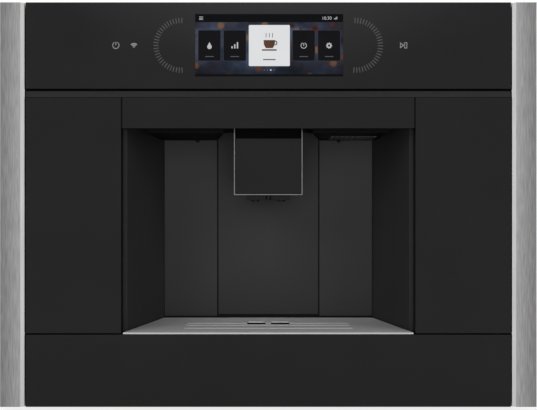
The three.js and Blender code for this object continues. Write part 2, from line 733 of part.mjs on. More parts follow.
function controlBoard() {
  const front = boardFront();
  const middle = controlMiddle();
  const z = [middle - BOARD_HEIGHT / 2, middle + BOARD_HEIGHT / 2];
  const board = block([-BOARD_HALF, BOARD_HALF], [front, front + BOARD_THICKNESS], z);
  const chips = [-1, 1].map((side) => block(
    [side * CHIP_X - CHIP_HALF, side * CHIP_X + CHIP_HALF],
    [front - CHIP, front],
    [middle - CHIP_HALF, middle + CHIP_HALF],
  ));
  return joined([board, ...chips]);
}

// ---------------------------------------------------------------- door

const hingeHeights = () => [DOOR_BOTTOM + HINGE_LOW, DOOR_TOP - HINGE_HIGH];

// An open-backed inverted U with ribs, and a boss with a slot at each hinge.
function doorFrame() {
  const outer = FRONT_HALF - FRAME_INSET;
  const opening = DOOR_OPENING_HALF + FRAME_INSET;
  const top = DOOR_TOP - FRAME_INSET;
  const front = atDepth(PANEL_THICKNESS + SEAT);
  const rear = atDepth(DOOR_DEPTH);
  const bottom = DOOR_BOTTOM + FRAME_INSET;
  const lintel = HEADER_BOTTOM + FRAME_INSET;
  const arch = (inset) => outline([
    [-outer + inset, bottom + inset],
    [-opening - inset, bottom + inset],
    [-opening - inset, lintel + inset],
    [opening + inset, lintel + inset],
    [opening + inset, bottom + inset],
    [outer - inset, bottom + inset],
    [outer - inset, top - inset],
    [-outer + inset, top - inset],
  ]);
  const gripBack = FRONT_Y + PANEL_THICKNESS + GRIP_BEVEL + SEAT;
  const body = prismY(arch(0), front, rear);
  let frame = body.subtract(prismY(arch(DOOR_RIM), front + DOOR_WEB, rear + CUT));
  const legHeight = lintel - bottom;
  const ribs = [];
  for (let i = 1; i <= DOOR_RIB_COUNT; i += 1) {
    const z = bottom + (legHeight * i) / (DOOR_RIB_COUNT + 1);
    for (const side of [-1, 1]) {
      const x = [side * opening, side * outer].sort((a, b) => a - b);
      ribs.push(block(x, [front, rear - DOOR_RIB], [z - DOOR_RIB / 2, z + DOOR_RIB / 2]));
    }
  }
  frame = joined([frame, ...ribs]);
  for (const z of hingeHeights()) {
    const slotHalf = HINGE_ARM_THICKNESS / 2 + HINGE_SLOT_PLAY;
    const bossHalf = Math.min(slotHalf + HINGE_BOSS, z - bottom, top - z);
    frame = frame.add(block(
      [-outer, HINGE_X + HINGE_POCKET],
      [front, rear],
      [z - bossHalf, z + bossHalf],
    ));
    frame = frame.subtract(block(
      [-outer - CUT, HINGE_X + HINGE_POCKET],
      [front - CUT, rear + CUT],
      [z - slotHalf, z + slotHalf],
    ));
    frame = frame.subtract(round(
      'z', HINGE_PIN_RADIUS + RUN, [z - bossHalf - CUT, z + bossHalf + CUT],
      [HINGE_X, HINGE_Y, 0], SHAFT_SIDES,
    ));
  }
  const gripSeat = block(
    [-outer - CUT, outer + CUT],
    [front - CUT, gripBack],
    [HEADER_TOP - SEAT, DOOR_TOP + CUT],
  );
  return frame.subtract(gripSeat);
}

function doorPanel(side) {
  const x = [side * DOOR_OPENING_HALF, side * FRONT_HALF].sort((a, b) => a - b);
  return block(x, [FRONT_Y, FRONT_Y + PANEL_THICKNESS], [DOOR_BOTTOM, HEADER_TOP - SEAT]);
}

function doorHeader() {
  const half = DOOR_OPENING_HALF - SEAM;
  return block(
    [-half, half],
    [FRONT_Y, FRONT_Y + PANEL_THICKNESS],
    [HEADER_BOTTOM, HEADER_TOP - SEAT],
  );
}

// The grip strip leans back towards its top edge.
function doorGripBar() {
  const back = FRONT_Y + PANEL_THICKNESS + GRIP_BEVEL;
  return prismX(outline([
    [FRONT_Y, HEADER_TOP],
    [back, HEADER_TOP],
    [back, DOOR_TOP],
    [FRONT_Y + GRIP_BEVEL, DOOR_TOP],
  ]), -FRONT_HALF, FRONT_HALF);
}

function hingePin(z) {
  const half = HINGE_ARM_THICKNESS / 2 + HINGE_SLOT_PLAY + HINGE_BOSS - HINGE_PIN_SHORT;
  return round('z', HINGE_PIN_RADIUS, [z - half, z + half], [HINGE_X, HINGE_Y, 0], PIN_SIDES);
}

// The arm leaves the pin, cranks round the door's edge and ends in a foot on the wall.
function hingeArm(z) {
  const w = HINGE_ARM_WIDTH / 2;
  const eye = HINGE_PIN_RADIUS + RUN + HINGE_EYE_WALL;
  const wall = -(INNER_HALF - SEAT) - HINGE_X;
  const span = [z - HINGE_ARM_THICKNESS / 2, z + HINGE_ARM_THICKNESS / 2];
  const plan = prismZ(outline([
    [-w / 2, eye / 2],
    [w, 0],
    [HINGE_CRANK_X + w, HINGE_CRANK_Y - w],
    [HINGE_CRANK_X + w, HINGE_CRANK_Y + w],
    [wall, HINGE_CRANK_Y + w],
    [wall, HINGE_CRANK_Y - w],
    [HINGE_CRANK_X - 2 * w, HINGE_CRANK_Y - w],
    [HINGE_CRANK_X - w, HINGE_CRANK_Y - 2 * w],
  ].map(([x, y]) => [HINGE_X + x, HINGE_Y + y])), ...span);
  const ring = round('z', eye, span, [HINGE_X, HINGE_Y, 0], HUB_SIDES);
  const foot = block(
    [HINGE_X + wall, HINGE_X + wall + HINGE_FOOT_THICKNESS],
    [HINGE_Y + HINGE_CRANK_Y - w, HINGE_Y + HINGE_CRANK_Y - w + HINGE_FOOT_LENGTH],
    [z - HINGE_FOOT_HEIGHT / 2, z + HINGE_FOOT_HEIGHT / 2],
  );
  const bore = round(
    'z', HINGE_PIN_RADIUS + RUN, [span[0] - CUT, span[1] + CUT], [HINGE_X, HINGE_Y, 0], SHAFT_SIDES,
  );
  return joined([plan, ring, foot]).subtract(bore);
}

// A magnet block that meets the closed door's frame, on a bracket from the right wall.
function doorCatch() {
  const bottom = DECK_TOP + CATCH_ABOVE_DECK;
  const z = [bottom, bottom + CATCH_HEIGHT];
  const magnetX = [FRONT_HALF - FRAME_INSET - CATCH_WIDTH, FRONT_HALF - FRAME_INSET];
  const magnet = block(magnetX, [atDepth(DOOR_DEPTH + SEAT), BEHIND_FRAME_Y + WALL], z);
  const bridge = block([magnetX[0], INNER_HALF - SEAT], [BEHIND_FRAME_Y, BEHIND_FRAME_Y + WALL], z);
  const foot = block(
    [INNER_HALF - SEAT - WALL, INNER_HALF - SEAT],
    [BEHIND_FRAME_Y, BEHIND_FRAME_Y + CATCH_DEPTH],
    z,
  );
  return joined([magnet, bridge, foot]);
}

// ---------------------------------------------------------------- drip-tray drawer

function drawerFront() {
  return block(
    [-FRONT_HALF, FRONT_HALF],
    [FRONT_Y, FRONT_Y + PANEL_THICKNESS],
    [FRONT_LIFT, DRAWER_TOP],
  );
}

const trayFront = () => FRONT_Y + PANEL_THICKNESS + SEAT;
const floatAt = () => [FLOAT_X, atDepth(FLOAT_DEPTH), 0];
const bayWallX = () => NICHE_FRONT_HALF + BAY_WALL_OUT;

function dripTray() {
  const y = [trayFront(), trayFront() + TRAY_DEPTH];
  const floor = TRAY_BOTTOM + TRAY_WALL;
  const inside = (x) => block(x, [y[0] + TRAY_WALL, y[1] - TRAY_WALL], [floor, TRAY_TOP + CUT]);
  const bayWall = [-bayWallX(), -bayWallX() + TRAY_WALL];
  const rib = NICHE_BACK_HALF - TRAY_RIB_IN;
  let tray = block([-BAY_OUTER, BAY_OUTER], y, [TRAY_BOTTOM, TRAY_TOP]);
  tray = tray.subtract(inside([-BAY_OUTER + TRAY_WALL, bayWall[0]]));
  tray = tray.subtract(inside([bayWall[1], BAY_OUTER - TRAY_WALL]));
  const ribs = [-1, 1].map((side) => block(
    [side * rib - TRAY_WALL / 2, side * rib + TRAY_WALL / 2],
    [y[0], atDepth(TRAY_RIB_END)],
    [TRAY_BOTTOM, PLATE_BOTTOM - SEAT],
  ));
  const post = round(
    'z', FLOAT_POST_RADIUS, [TRAY_BOTTOM, floor + FLOAT_POST_HEIGHT], floatAt(), PIN_SIDES,
  );
  return joined([tray, ...ribs, post]);
}

// A flat steel plate that follows the niche's taper, with slots and embossed bands.
function dripPlate() {
  const front = nicheHalf(0) - PLATE_SIDE_GAP;
  const rear = nicheHalf(PLATE_BACK_DEPTH) - PLATE_SIDE_GAP;
  let plate = prismZ(outline([
    [-front, FRONT_Y],
    [front, FRONT_Y],
    [rear, atDepth(PLATE_BACK_DEPTH)],
    [-rear, atDepth(PLATE_BACK_DEPTH)],
  ]), PLATE_BOTTOM, PLATE_TOP - EMBOSS_HEIGHT);
  const bandHalf = rear - EMBOSS_INSET;
  const bands = EMBOSS_BANDS.map(([from, to]) => block(
    [-bandHalf, bandHalf],
    [atDepth(from), atDepth(to)],
    [PLATE_BOTTOM, PLATE_TOP],
  ));
  plate = joined([plate, ...bands]);
  for (const side of [-1, 1]) {
    const x = [side * SLOT_INNER_X, side * (SLOT_INNER_X + SLOT_LENGTH)].sort((a, b) => a - b);
    plate = plate.subtract(block(
      x,
      [atDepth(SLOT_DEPTH_FROM), atDepth(SLOT_DEPTH_TO)],
      [PLATE_BOTTOM - CUT, PLATE_TOP + CUT],
    ));
  }
  return plate;
}

function groundsContainer() {
  const clear = TRAY_WALL + GROUNDS_CLEAR;
  const x = [-BAY_OUTER + clear, -bayWallX() - GROUNDS_CLEAR];
  const y = [trayFront() + clear, trayFront() + TRAY_DEPTH - clear];
  const z = [TRAY_BOTTOM + TRAY_WALL + SEAT, TRAY_TOP];
  return block(x, y, z).subtract(block(
    [x[0] + GROUNDS_WALL, x[1] - GROUNDS_WALL],
    [y[0] + GROUNDS_WALL, y[1] - GROUNDS_WALL],
    [z[0] + GROUNDS_WALL, z[1] + CUT],
  ));
}

// A round float that rises along the tray's post as the tray fills.
function trayFloat() {
  const bottom = TRAY_BOTTOM + TRAY_WALL + SEAT;
  const disc = round('z', FLOAT_RADIUS, [bottom, bottom + FLOAT_HEIGHT], floatAt(), HUB_SIDES);
  return disc.subtract(round(
    'z', FLOAT_POST_RADIUS + RUN, [bottom - CUT, bottom + FLOAT_HEIGHT + CUT], floatAt(), SHAFT_SIDES,
  ));
}

// ---------------------------------------------------------------- dispenser

const shellFront = () => DISPENSER_DEPTH + FACE_THICKNESS + SEAT;
const shellRear = () => shellFront() + DISPENSER_LENGTH;

// A tall box shell, open at the top for its hoses, with a rail on each side.
function dispenserCarriage() {
  const y = [atDepth(shellFront()), atDepth(shellRear())];
  const z = [DISPENSER_BOTTOM, DISPENSER_TOP];
  const t = DISPENSER_WALL;
  let shell = block([-DISPENSER_HALF, DISPENSER_HALF], y, z);
  shell = shell.subtract(block(
    [-DISPENSER_HALF + t, DISPENSER_HALF - t],
    [y[0] + t, y[1] - t],
    [z[0] + t, z[1] + CUT],
  ));
  for (const side of [-1, 1]) {
    const x = [side * (DISPENSER_HALF - t), side * (DISPENSER_HALF + RAIL_OUT)].sort((a, b) => a - b);
    const rail = [atDepth(RAIL_DEPTH - RAIL_WIDTH / 2), atDepth(RAIL_DEPTH + RAIL_WIDTH / 2)];
    shell = shell.add(block(x, rail, z));
    shell = shell.subtract(round(
      'z', SPOUT_BORE, [z[0] - CUT, z[0] + t + CUT], [side * SPOUT_X, atDepth(NOZZLE_DEPTH), 0], PIN_SIDES,
    ));
  }
  return shell;
}

function dispenserFace() {
  const half = U_TRIM_HALF - SEAT;
  return block(
    [-half, half],
    [atDepth(DISPENSER_DEPTH), atDepth(DISPENSER_DEPTH + FACE_THICKNESS)],
    [DISPENSER_BOTTOM, DISPENSER_BOTTOM + FACE_HEIGHT],
  );
}

// One bent steel strip round the face: a bar below it and a leg on each side.
function dispenserTrim() {
  const outer = U_TRIM_HALF + U_TRIM_WIDTH;
  const y = [atDepth(DISPENSER_DEPTH), atDepth(DISPENSER_DEPTH + U_TRIM_DEPTH)];
  const bottom = DISPENSER_BOTTOM - SEAT - U_TRIM_WIDTH;
  return block([-outer, outer], y, [bottom, DISPENSER_TOP]).subtract(block(
    [-U_TRIM_HALF, U_TRIM_HALF],
    [y[0] - CUT, y[1] + CUT],
    [DISPENSER_BOTTOM - SEAT, DISPENSER_TOP + CUT],
  ));
}

// The outlet block: two spouts, and a raised joint between its halves.
function coffeeNozzle() {
  const y = [atDepth(NOZZLE_DEPTH - NOZZLE_LENGTH / 2), atDepth(NOZZLE_DEPTH + NOZZLE_LENGTH / 2)];
  const top = DISPENSER_BOTTOM - SEAT;
  const bottom = top - NOZZLE_TALL;
  let nozzle = block([-NOZZLE_HALF, NOZZLE_HALF], y, [bottom, top]);
  for (const side of [-1, 1]) {
    const at = [side * SPOUT_X, atDepth(NOZZLE_DEPTH), 0];
    nozzle = nozzle.add(round('z', SPOUT_RADIUS, [bottom - SPOUT_DROP, top], at, HUB_SIDES));
    nozzle = nozzle.subtract(round('z', SPOUT_BORE, [bottom - SPOUT_DROP - CUT, top + CUT], at, PIN_SIDES));
    const groove = side * NOZZLE_SPLIT_HALF;
    nozzle = nozzle.subtract(block(
      [groove - NOZZLE_GROOVE / 2, groove + NOZZLE_GROOVE / 2],
      [y[0] - CUT, y[0] + NOZZLE_GROOVE],
      [bottom - CUT, top + CUT],
    ));
  }
  return nozzle;
}

// A collar above the ceiling, open to the front, with a groove for each rail.
function dispenserGuide() {
  const inner = DISPENSER_HALF + RUN;
  const groove = DISPENSER_HALF + RAIL_OUT + RUN;
  const outer = groove + GUIDE_WALL;
  const front = atDepth(DISPENSER_DEPTH + U_TRIM_DEPTH + BRIDGE_CLEAR);
  const rear = atDepth(shellRear());
  const z = [NICHE_CEILING + WALL + SEAT, NICHE_CEILING + WALL + SEAT + GUIDE_TALL];
  const cut = [z[0] - CUT, z[1] + CUT];
  let guide = block([-outer, outer], [front, rear + RUN + GUIDE_WALL], z);
  guide = guide.subtract(block([-inner, inner], [front - CUT, rear + RUN], cut));
  return guide.subtract(block(
    [-groove, groove],
    [atDepth(RAIL_DEPTH - RAIL_WIDTH / 2 - RUN), atDepth(RAIL_DEPTH + RAIL_WIDTH / 2 + RUN)],
    cut,
  ));
}

// ---------------------------------------------------------------- water

const pumpX = () => (TANK_INNER_X + BAY_OUTER) / 2;
const worksY = () => atDepth(WORKS_DEPTH);
const pressureX = () => HEATER_HALF + HOSE_HOLE + HOSE_BEND;

function waterTank() {
  const x = [TANK_INNER_X, BAY_OUTER];
  const y = [atDepth(TANK_FRONT_DEPTH), atDepth(TANK_FRONT_DEPTH + TANK_LENGTH)];
  const z = [DECK_TOP + SEAT, DECK_TOP + SEAT + TANK_HEIGHT];
  const hollow = block(
    [x[0] + TANK_WALL, x[1] - TANK_WALL],
    [y[0] + TANK_WALL, y[1] - TANK_WALL],
    [z[0] + TANK_WALL, z[1] + CUT],
  );
  const at = [pumpX(), worksY(), 0];
  const end = z[0] - SPIGOT_LENGTH;
  const spigot = round('z', SPIGOT_RADIUS, [end, z[0] + TANK_WALL], at, SHAFT_SIDES);
  const bore = round(
    'z', SPIGOT_RADIUS - SPIGOT_WALL, [end - CUT, z[0] + TANK_WALL + CUT], at, PIN_SIDES,
  );
  return block(x, y, z).subtract(hollow).add(spigot).subtract(bore);
}

function tankLid() {
  const x = [TANK_INNER_X, BAY_OUTER];
  const y = [atDepth(TANK_FRONT_DEPTH), atDepth(TANK_FRONT_DEPTH + TANK_LENGTH)];
  const bottom = DECK_TOP + 2 * SEAT + TANK_HEIGHT;
  const grip = round('z', TANK_GRIP, [bottom + LID_THICKNESS / 2, bottom + LID_THICKNESS + CUT], [
    pumpX(), y[0] + TANK_GRIP_BACK, 0,
  ]);
  return block(x, y, [bottom, bottom + LID_THICKNESS]).subtract(grip);
}

// A vibration pump under the tank: body, inlet socket round the tank's spigot, side port.
function waterPump() {
  const x = [pumpX() - PUMP_HALF, pumpX() + PUMP_HALF];
  const y = [worksY() - PUMP_LENGTH / 2, worksY() + PUMP_LENGTH / 2];
  const z = [BASE_TOP + SEAT, BASE_TOP + SEAT + PUMP_HEIGHT];
  const socketTop = DECK_BOTTOM - SEAT;
  const at = [pumpX(), worksY(), 0];
  const body = block(x, y, z);
  const socketRadius = SPIGOT_RADIUS + RUN + 2 * SPIGOT_WALL;
  const socket = round('z', socketRadius, [z[1] - SINK, socketTop], at, HUB_SIDES);
  const port = round(
    'x', PORT_RADIUS, [x[0] - PORT_LENGTH, x[0] + SINK], [0, worksY(), pumpPortZ()], SHAFT_SIDES,
  );
  const well = round(
    'z', SPIGOT_RADIUS + RUN, [socketTop - SPIGOT_LENGTH, socketTop + CUT], at, SHAFT_SIDES,
  );
  return joined([body, socket, port]).subtract(well);
}

const pumpPortZ = () => BASE_TOP + SEAT + PUMP_HEIGHT / 2;

// A flow heater block with cooling slots in its top and a port on each side.
function thermoblock() {
  const y = [worksY() - HEATER_LENGTH / 2, worksY() + HEATER_LENGTH / 2];
  const z = [DECK_TOP + SEAT, DECK_TOP + SEAT + HEATER_HEIGHT];
  let body = block([-HEATER_HALF, HEATER_HALF], y, z);
  const pitch = (2 * HEATER_HALF) / (HEATER_FINS + 1);
  for (let i = 1; i <= HEATER_FINS; i += 1) {
    const x = -HEATER_HALF + i * pitch;
    body = body.subtract(block(
      [x - HEATER_FIN_GAP / 2, x + HEATER_FIN_GAP / 2],
      [y[0] - CUT, y[1] + CUT],
      [z[1] - HEATER_FIN_CUT, z[1] + CUT],
    ));
  }
  const port = round(
    'x', PORT_RADIUS, [-HEATER_HALF - PORT_LENGTH, HEATER_HALF + PORT_LENGTH / 2],
    [0, worksY(), heaterPortZ()], SHAFT_SIDES,
  );
  return body.add(port);
}

const heaterPortZ = () => DECK_TOP + SEAT + HEATER_HEIGHT / 2;

// From the pump, along the base and up through the deck to the heater.
function pressureHose() {
  const start = pumpX() - PUMP_HALF - PORT_LENGTH - SEAT;
  const end = HEATER_HALF + PORT_LENGTH / 2 + SEAT;
  return hose([
    [start, worksY(), pumpPortZ()],
    [pressureX(), worksY(), pumpPortZ()],
    [pressureX(), worksY(), heaterPortZ()],
    [end, worksY(), heaterPortZ()],
  ], HOSE_RADIUS, HOSE_BORE, HOSE_BEND);
}

// From the heater to the left, then forward into the rear of the brewing block.
function brewHose() {
  const start = -HEATER_HALF - PORT_LENGTH - SEAT;
  return hose([
    [start, worksY(), heaterPortZ()],
    [BREW_X, worksY(), heaterPortZ()],
    [BREW_X, atDepth(BREW_REAR_DEPTH + SEAT), heaterPortZ()],
  ], HOSE_RADIUS, HOSE_BORE, HOSE_BEND);
}

// ---------------------------------------------------------------- electrics

// A board on four posts against the right side panel, with its transformer.
function powerBoard() {
  const wall = INNER_HALF - SEAT;
  const y = [atDepth(POWER_DEPTH - POWER_LENGTH / 2), atDepth(POWER_DEPTH + POWER_LENGTH / 2)];
  const z = [POWER_BOTTOM, POWER_BOTTOM + POWER_HEIGHT];
  const face = wall - POWER_POST - BOARD_THICKNESS;
  const board = block([face, face + BOARD_THICKNESS], y, z);
  const inset = POWER_POST_INSET;
  const posts = [];
  for (const py of [y[0] + inset, y[1] - inset]) {
    for (const pz of [z[0] + inset, z[1] - inset]) {
      posts.push(round('x', BOARD_POST_RADIUS, [face, wall], [0, py, pz], POWER_POST_SIDES));
    }
  }
  const transformer = block(
    [face - TRANSFORMER_DEPTH, face],
    [y[0] + inset, y[0] + inset + TRANSFORMER_SIZE],
    [z[0] + inset, z[0] + inset + TRANSFORMER_SIZE],
  );
  return joined([board, ...posts, transformer]);
}

// A recessed three-pin mains socket, its flange inside the rear panel.
function mainsInlet() {
  const x = [INLET_X - INLET_HALF, INLET_X + INLET_HALF];
  const z = [INLET_Z - INLET_HEIGHT / 2, INLET_Z + INLET_HEIGHT / 2];
  const inside = REAR_Y - SHEET - SEAT;
  const body = block(x, [REAR_Y - INLET_LENGTH, REAR_Y], z);
  const flange = block(
    [x[0] - INLET_FLANGE, x[1] + INLET_FLANGE],
    [inside - WALL, inside],
    [z[0] - INLET_FLANGE, z[1] + INLET_FLANGE],
  );
  const well = block(
    [x[0] + INLET_WALL, x[1] - INLET_WALL],
    [REAR_Y - INLET_LENGTH + INLET_WALL, REAR_Y + CUT],
    [z[0] + INLET_WALL, z[1] - INLET_WALL],
  );
  const pins = [-1, 0, 1].map((i) => round(
    'y', INLET_PIN_RADIUS, [REAR_Y - INLET_LENGTH, REAR_Y - INLET_WALL],
    [INLET_X + i * INLET_PIN_PITCH, 0, INLET_Z], PIN_SIDES,
  ));
  return joined([joined([body, flange]).subtract(well), ...pins]);
}

// ---------------------------------------------------------------- brewing group

const brewTop = () => DECK_TOP + SEAT + BREW_HEIGHT;
const gearRadius = () => (GEAR_MODULE * GEAR_TEETH) / 2;
const rackPitchX = () => BREW_X - ROD_HALF - GEAR_MODULE;
const gearX = () => rackPitchX() - gearRadius();
const gearZ = () => brewTop() + GEAR_ABOVE;
const brewY = () => atDepth(BREW_DEPTH);

// The block: a cylinder open at the top, an outlet below, and two cheeks for the gear.
function brewUnitHousing() {
  const top = brewTop();
  const bottom = DECK_TOP + SEAT;
  const y = [atDepth(BREW_FRONT_DEPTH), atDepth(BREW_REAR_DEPTH)];
  let body = block([BREW_X - BREW_HALF, BREW_X + BREW_HALF], y, [bottom, top]);
  const at = [BREW_X, brewY(), 0];
  body = body.subtract(round('z', CYLINDER_RADIUS, [bottom + BREW_FLOOR, top + CUT], at, BOWL_SIDES));
  body = body.subtract(round('z', HOSE_BORE, [bottom - CUT, bottom + BREW_FLOOR + CUT], at, PIN_SIDES));
  for (const side of [-1, 1]) {
    const inner = brewY() + side * (GEAR_WIDTH / 2 + SEAT);
    const outer = brewY() + side * (GEAR_WIDTH / 2 + SEAT + CHEEK_THICKNESS);
    const cheek = block(
      [gearX() - CHEEK_HALF, gearX() + CHEEK_HALF - CHEEK_TRIM],
      [inner, outer].sort((a, b) => a - b),
      [top - SINK, gearZ() + CHEEK_HALF],
    );
    body = body.add(cheek.subtract(round('z', CYLINDER_RADIUS, [top - 2 * SINK, top], at, BOWL_SIDES)));
  }
  const shaft = GEAR_SHAFT_RADIUS + RUN;
  body = body.subtract(round('y', shaft, [y[0], y[1]], [gearX(), 0, gearZ()], SHAFT_SIDES));
  const leverAt = [BREW_X, 0, DECK_TOP + LEVER_ABOVE_DECK];
  return body.subtract(round(
    'y', LEVER_SHAFT_RADIUS + RUN, [y[0] - CUT, y[0] + LEVER_SHAFT_LENGTH + RUN], leverAt, SHAFT_SIDES,
  ));
}

const toothPitch = () => Math.PI * GEAR_MODULE;
const toothHalf = () => (toothPitch() / 2 - GEAR_BACKLASH) / 2;

// The piston: a disc in the cylinder, a square rod, and a rack on the rod's left face.
function brewPiston() {
  const headTop = brewTop() - PISTON_TOP_GAP;
  const rodTop = brewTop() + ROD_ABOVE;
  const head = round(
    'z', CYLINDER_RADIUS - RUN, [headTop - PISTON_HEAD, headTop], [BREW_X, brewY(), 0], BOWL_SIDES,
  );
  const half = GEAR_WIDTH / 2;
  const rod = block(
    [BREW_X - ROD_HALF, BREW_X + ROD_HALF],
    [brewY() - half, brewY() + half],
    [headTop - SINK, rodTop],
  );
  const teeth = [];
  const lean = Math.tan((PRESSURE_ANGLE * Math.PI) / 180) * GEAR_MODULE * RACK_ADDENDUM;
  const pitch = toothPitch();
  const root = BREW_X - ROD_HALF + SINK;
  const tip = rackPitchX() - GEAR_MODULE * RACK_ADDENDUM;
  for (let z = gearZ() - pitch / 2; z < rodTop - pitch; z += pitch) {
    teeth.push(rackTooth(root, tip, z, lean));
  }
  for (let z = gearZ() - pitch / 2 - pitch; z > headTop + pitch; z -= pitch) {
    teeth.push(rackTooth(root, tip, z, lean));
  }
  return joined([head, rod, ...teeth]);
}

function rackTooth(root, tip, z, lean) {
  const half = GEAR_WIDTH / 2;
  const t = toothHalf();
  return prismY(outline([
    [root, z - t - lean],
    [root, z + t + lean],
    [tip, z + t - lean],
    [tip, z - t + lean],
  ]), brewY() - half, brewY() + half);
}

// The pinion that drives the rack, one piece with its shaft.
function brewGear() {
  const half = GEAR_WIDTH / 2;
  const r = gearRadius();
  const rootR = r - GEAR_MODULE * GEAR_DEDENDUM;
  const tipR = r + GEAR_MODULE * GEAR_ADDENDUM;
  const rootHalf = (toothHalf() * TOOTH_ROOT) / r;
  const tipHalf = (toothHalf() * TOOTH_TIP) / r;
  const points = [];
  for (let i = 0; i < GEAR_TEETH; i += 1) {
    const a = (2 * Math.PI * i) / GEAR_TEETH;
    const tooth = [
      [rootR, a - rootHalf],
      [tipR, a - tipHalf],
      [tipR, a + tipHalf],
      [rootR, a + rootHalf],
    ];
    for (const [radius, angle] of tooth) {
      points.push([gearX() + radius * Math.cos(angle), gearZ() + radius * Math.sin(angle)]);
    }
  }
  const wheel = prismY(outline(points), brewY() - half, brewY() + half);
  const shaft = round(
    'y', GEAR_SHAFT_RADIUS, [brewY() - half - CHEEK_THICKNESS, atDepth(MOTOR_DEPTH) - SEAT],
    [gearX(), 0, gearZ()], SHAFT_SIDES,
  );
  return wheel.add(shaft);
}

function brewMotor() {
  const y = [atDepth(MOTOR_DEPTH), atDepth(MOTOR_DEPTH + MOTOR_LENGTH)];
  const can = round('y', MOTOR_RADIUS, y, [gearX(), 0, gearZ()], HUB_SIDES);
  const foot = block(
    [gearX() - MOTOR_RADIUS / 2, gearX() + MOTOR_RADIUS / 2],
    y,
    [brewTop() + SEAT, gearZ() - MOTOR_RADIUS / 2],
  );
  return can.add(foot);
}

// The lever that locks the brewing block in place.
function lockLever() {
  const face = atDepth(BREW_FRONT_DEPTH) - SEAT;
  const z = DECK_TOP + LEVER_ABOVE_DECK;
  const y = [face - LEVER_THICKNESS, face];
  const hub = round('y', LEVER_HUB, y, [BREW_X, 0, z], HUB_SIDES);
  const shaft = round(
    'y', LEVER_SHAFT_RADIUS, [face - SINK, face + SEAT + LEVER_SHAFT_LENGTH], [BREW_X, 0, z], PIN_SIDES,
  );
  const arm = block([BREW_X - LEVER_WIDTH / 2, BREW_X + LEVER_WIDTH / 2], y, [z, z + LEVER_LENGTH]);
  return joined([hub, shaft, arm]);
}

// ---------------------------------------------------------------- grinder and beans

const grinderY = () => brewY();
const grinderTop = () => GRINDER_BOTTOM + GRINDER_HEIGHT;

function grinderBody() {
  const at = [GRINDER_X, grinderY(), 0];
  const y = [grinderY() - GRINDER_HALF_LENGTH, grinderY() + GRINDER_HALF_LENGTH];
  const z = [GRINDER_BOTTOM, grinderTop()];
  const floor = z[0] + GRINDER_FLOOR;
  let body = block([GRINDER_X - GRINDER_HALF, GRINDER_X + GRINDER_HALF], y, z);
  body = body.add(block([-INNER_HALF + SEAT, GRINDER_X], [y[0], y[1]], [z[0], z[0] + GRINDER_ARM]));
  body = body.subtract(round('z', GRINDER_CAVITY, [floor, z[1] + CUT], at, BOWL_SIDES));
  return body.subtract(round(
    'z', BURR_SHAFT_RADIUS + RUN, [floor - BURR_SHAFT_LENGTH - RUN, floor + CUT],
    at, SHAFT_SIDES,
  ));
}

// The turning cone of the grinder, ridged, with its shaft below.
function grinderBurr() {
  const at = [GRINDER_X, grinderY(), 0];
  const floor = GRINDER_BOTTOM + GRINDER_FLOOR;
  const z = [floor + BURR_LIFT, floor + BURR_LIFT + BURR_HEIGHT];
  let cone = round('z', BURR_BASE, z, at, HUB_SIDES, BURR_TOP);
  for (let i = 0; i < BURR_RIDGES; i += 1) {
    const a = (2 * Math.PI * i) / BURR_RIDGES;
    const r = BURR_BASE + BURR_GROOVE_RADIUS / 2;
    cone = cone.subtract(round(
      'z', BURR_GROOVE_RADIUS, [z[0] - CUT, z[1] + CUT],
      [GRINDER_X + r * Math.cos(a), grinderY() + r * Math.sin(a), 0], PIN_SIDES,
    ));
  }
  return cone.add(round(
    'z', BURR_SHAFT_RADIUS, [floor - BURR_SHAFT_LENGTH, z[0] + SINK], at, PIN_SIDES,
  ));
}

function beanContainer() {
  const x = [-BAY_OUTER, BEAN_INNER_X];
  const y = [atDepth(BEAN_FRONT_DEPTH), atDepth(BEAN_FRONT_DEPTH + BEAN_LENGTH)];
  const z = [grinderTop() + SEAT, grinderTop() + SEAT + BEAN_HEIGHT];
  const box = block(x, y, z).subtract(block(
    [x[0] + BEAN_WALL, x[1] - BEAN_WALL],
    [y[0] + BEAN_WALL, y[1] - BEAN_WALL],
    [z[0] + BEAN_WALL, z[1] + CUT],
  ));
  return box.subtract(round(
    'z', BEAN_OUTLET, [z[0] - CUT, z[0] + BEAN_WALL + CUT], [GRINDER_X, grinderY(), 0], HUB_SIDES,
  ));
}

function beanLid() {
  const bottom = grinderTop() + 2 * SEAT + BEAN_HEIGHT;
  const y = [atDepth(BEAN_FRONT_DEPTH), atDepth(BEAN_FRONT_DEPTH + BEAN_LENGTH)];
  const lid = block([-BAY_OUTER, BEAN_INNER_X], y, [bottom, bottom + LID_THICKNESS]);
  return lid.add(round(
    'z', BEAN_KNOB_RADIUS, [bottom, bottom + LID_THICKNESS + BEAN_KNOB_HEIGHT],
    [(-BAY_OUTER + BEAN_INNER_X) / 2, (y[0] + y[1]) / 2, 0],
  ));
}

// ---------------------------------------------------------------- materials and scene graph

const finish = (color, roughness, metalness) =>
  new THREE.MeshStandardMaterial({ color, roughness, metalness });

const STEEL = () => finish(0x9a9c9e, 0.35, 1);
const BLACK_GLASS = () => finish(0x1c1c1d, 0.12, 0);
const BLACK_PLASTIC = () => finish(0x202022, 0.55, 0);
const ZINC_SHEET = () => finish(0xa4a7a8, 0.5, 0.9);
const PAINTED_BLACK = () => finish(0x1f1f20, 0.5, 0.4);
const CLEAR_PLASTIC = () => finish(0x8f969c, 0.15, 0);
const GREEN_BOARD = () => finish(0x1f4a33, 0.6, 0);
const ALUMINIUM = () => finish(0xb4b6b8, 0.45, 0.9);
const WHITE_HOSE = () => finish(0xd8d8d2, 0.4, 0);
const RED_PLASTIC = () => finish(0xb0301f, 0.5, 0);
const SMOKED_LENS = () => finish(0x2a2a2a, 0.3, 0);

const machine = new THREE.Group();

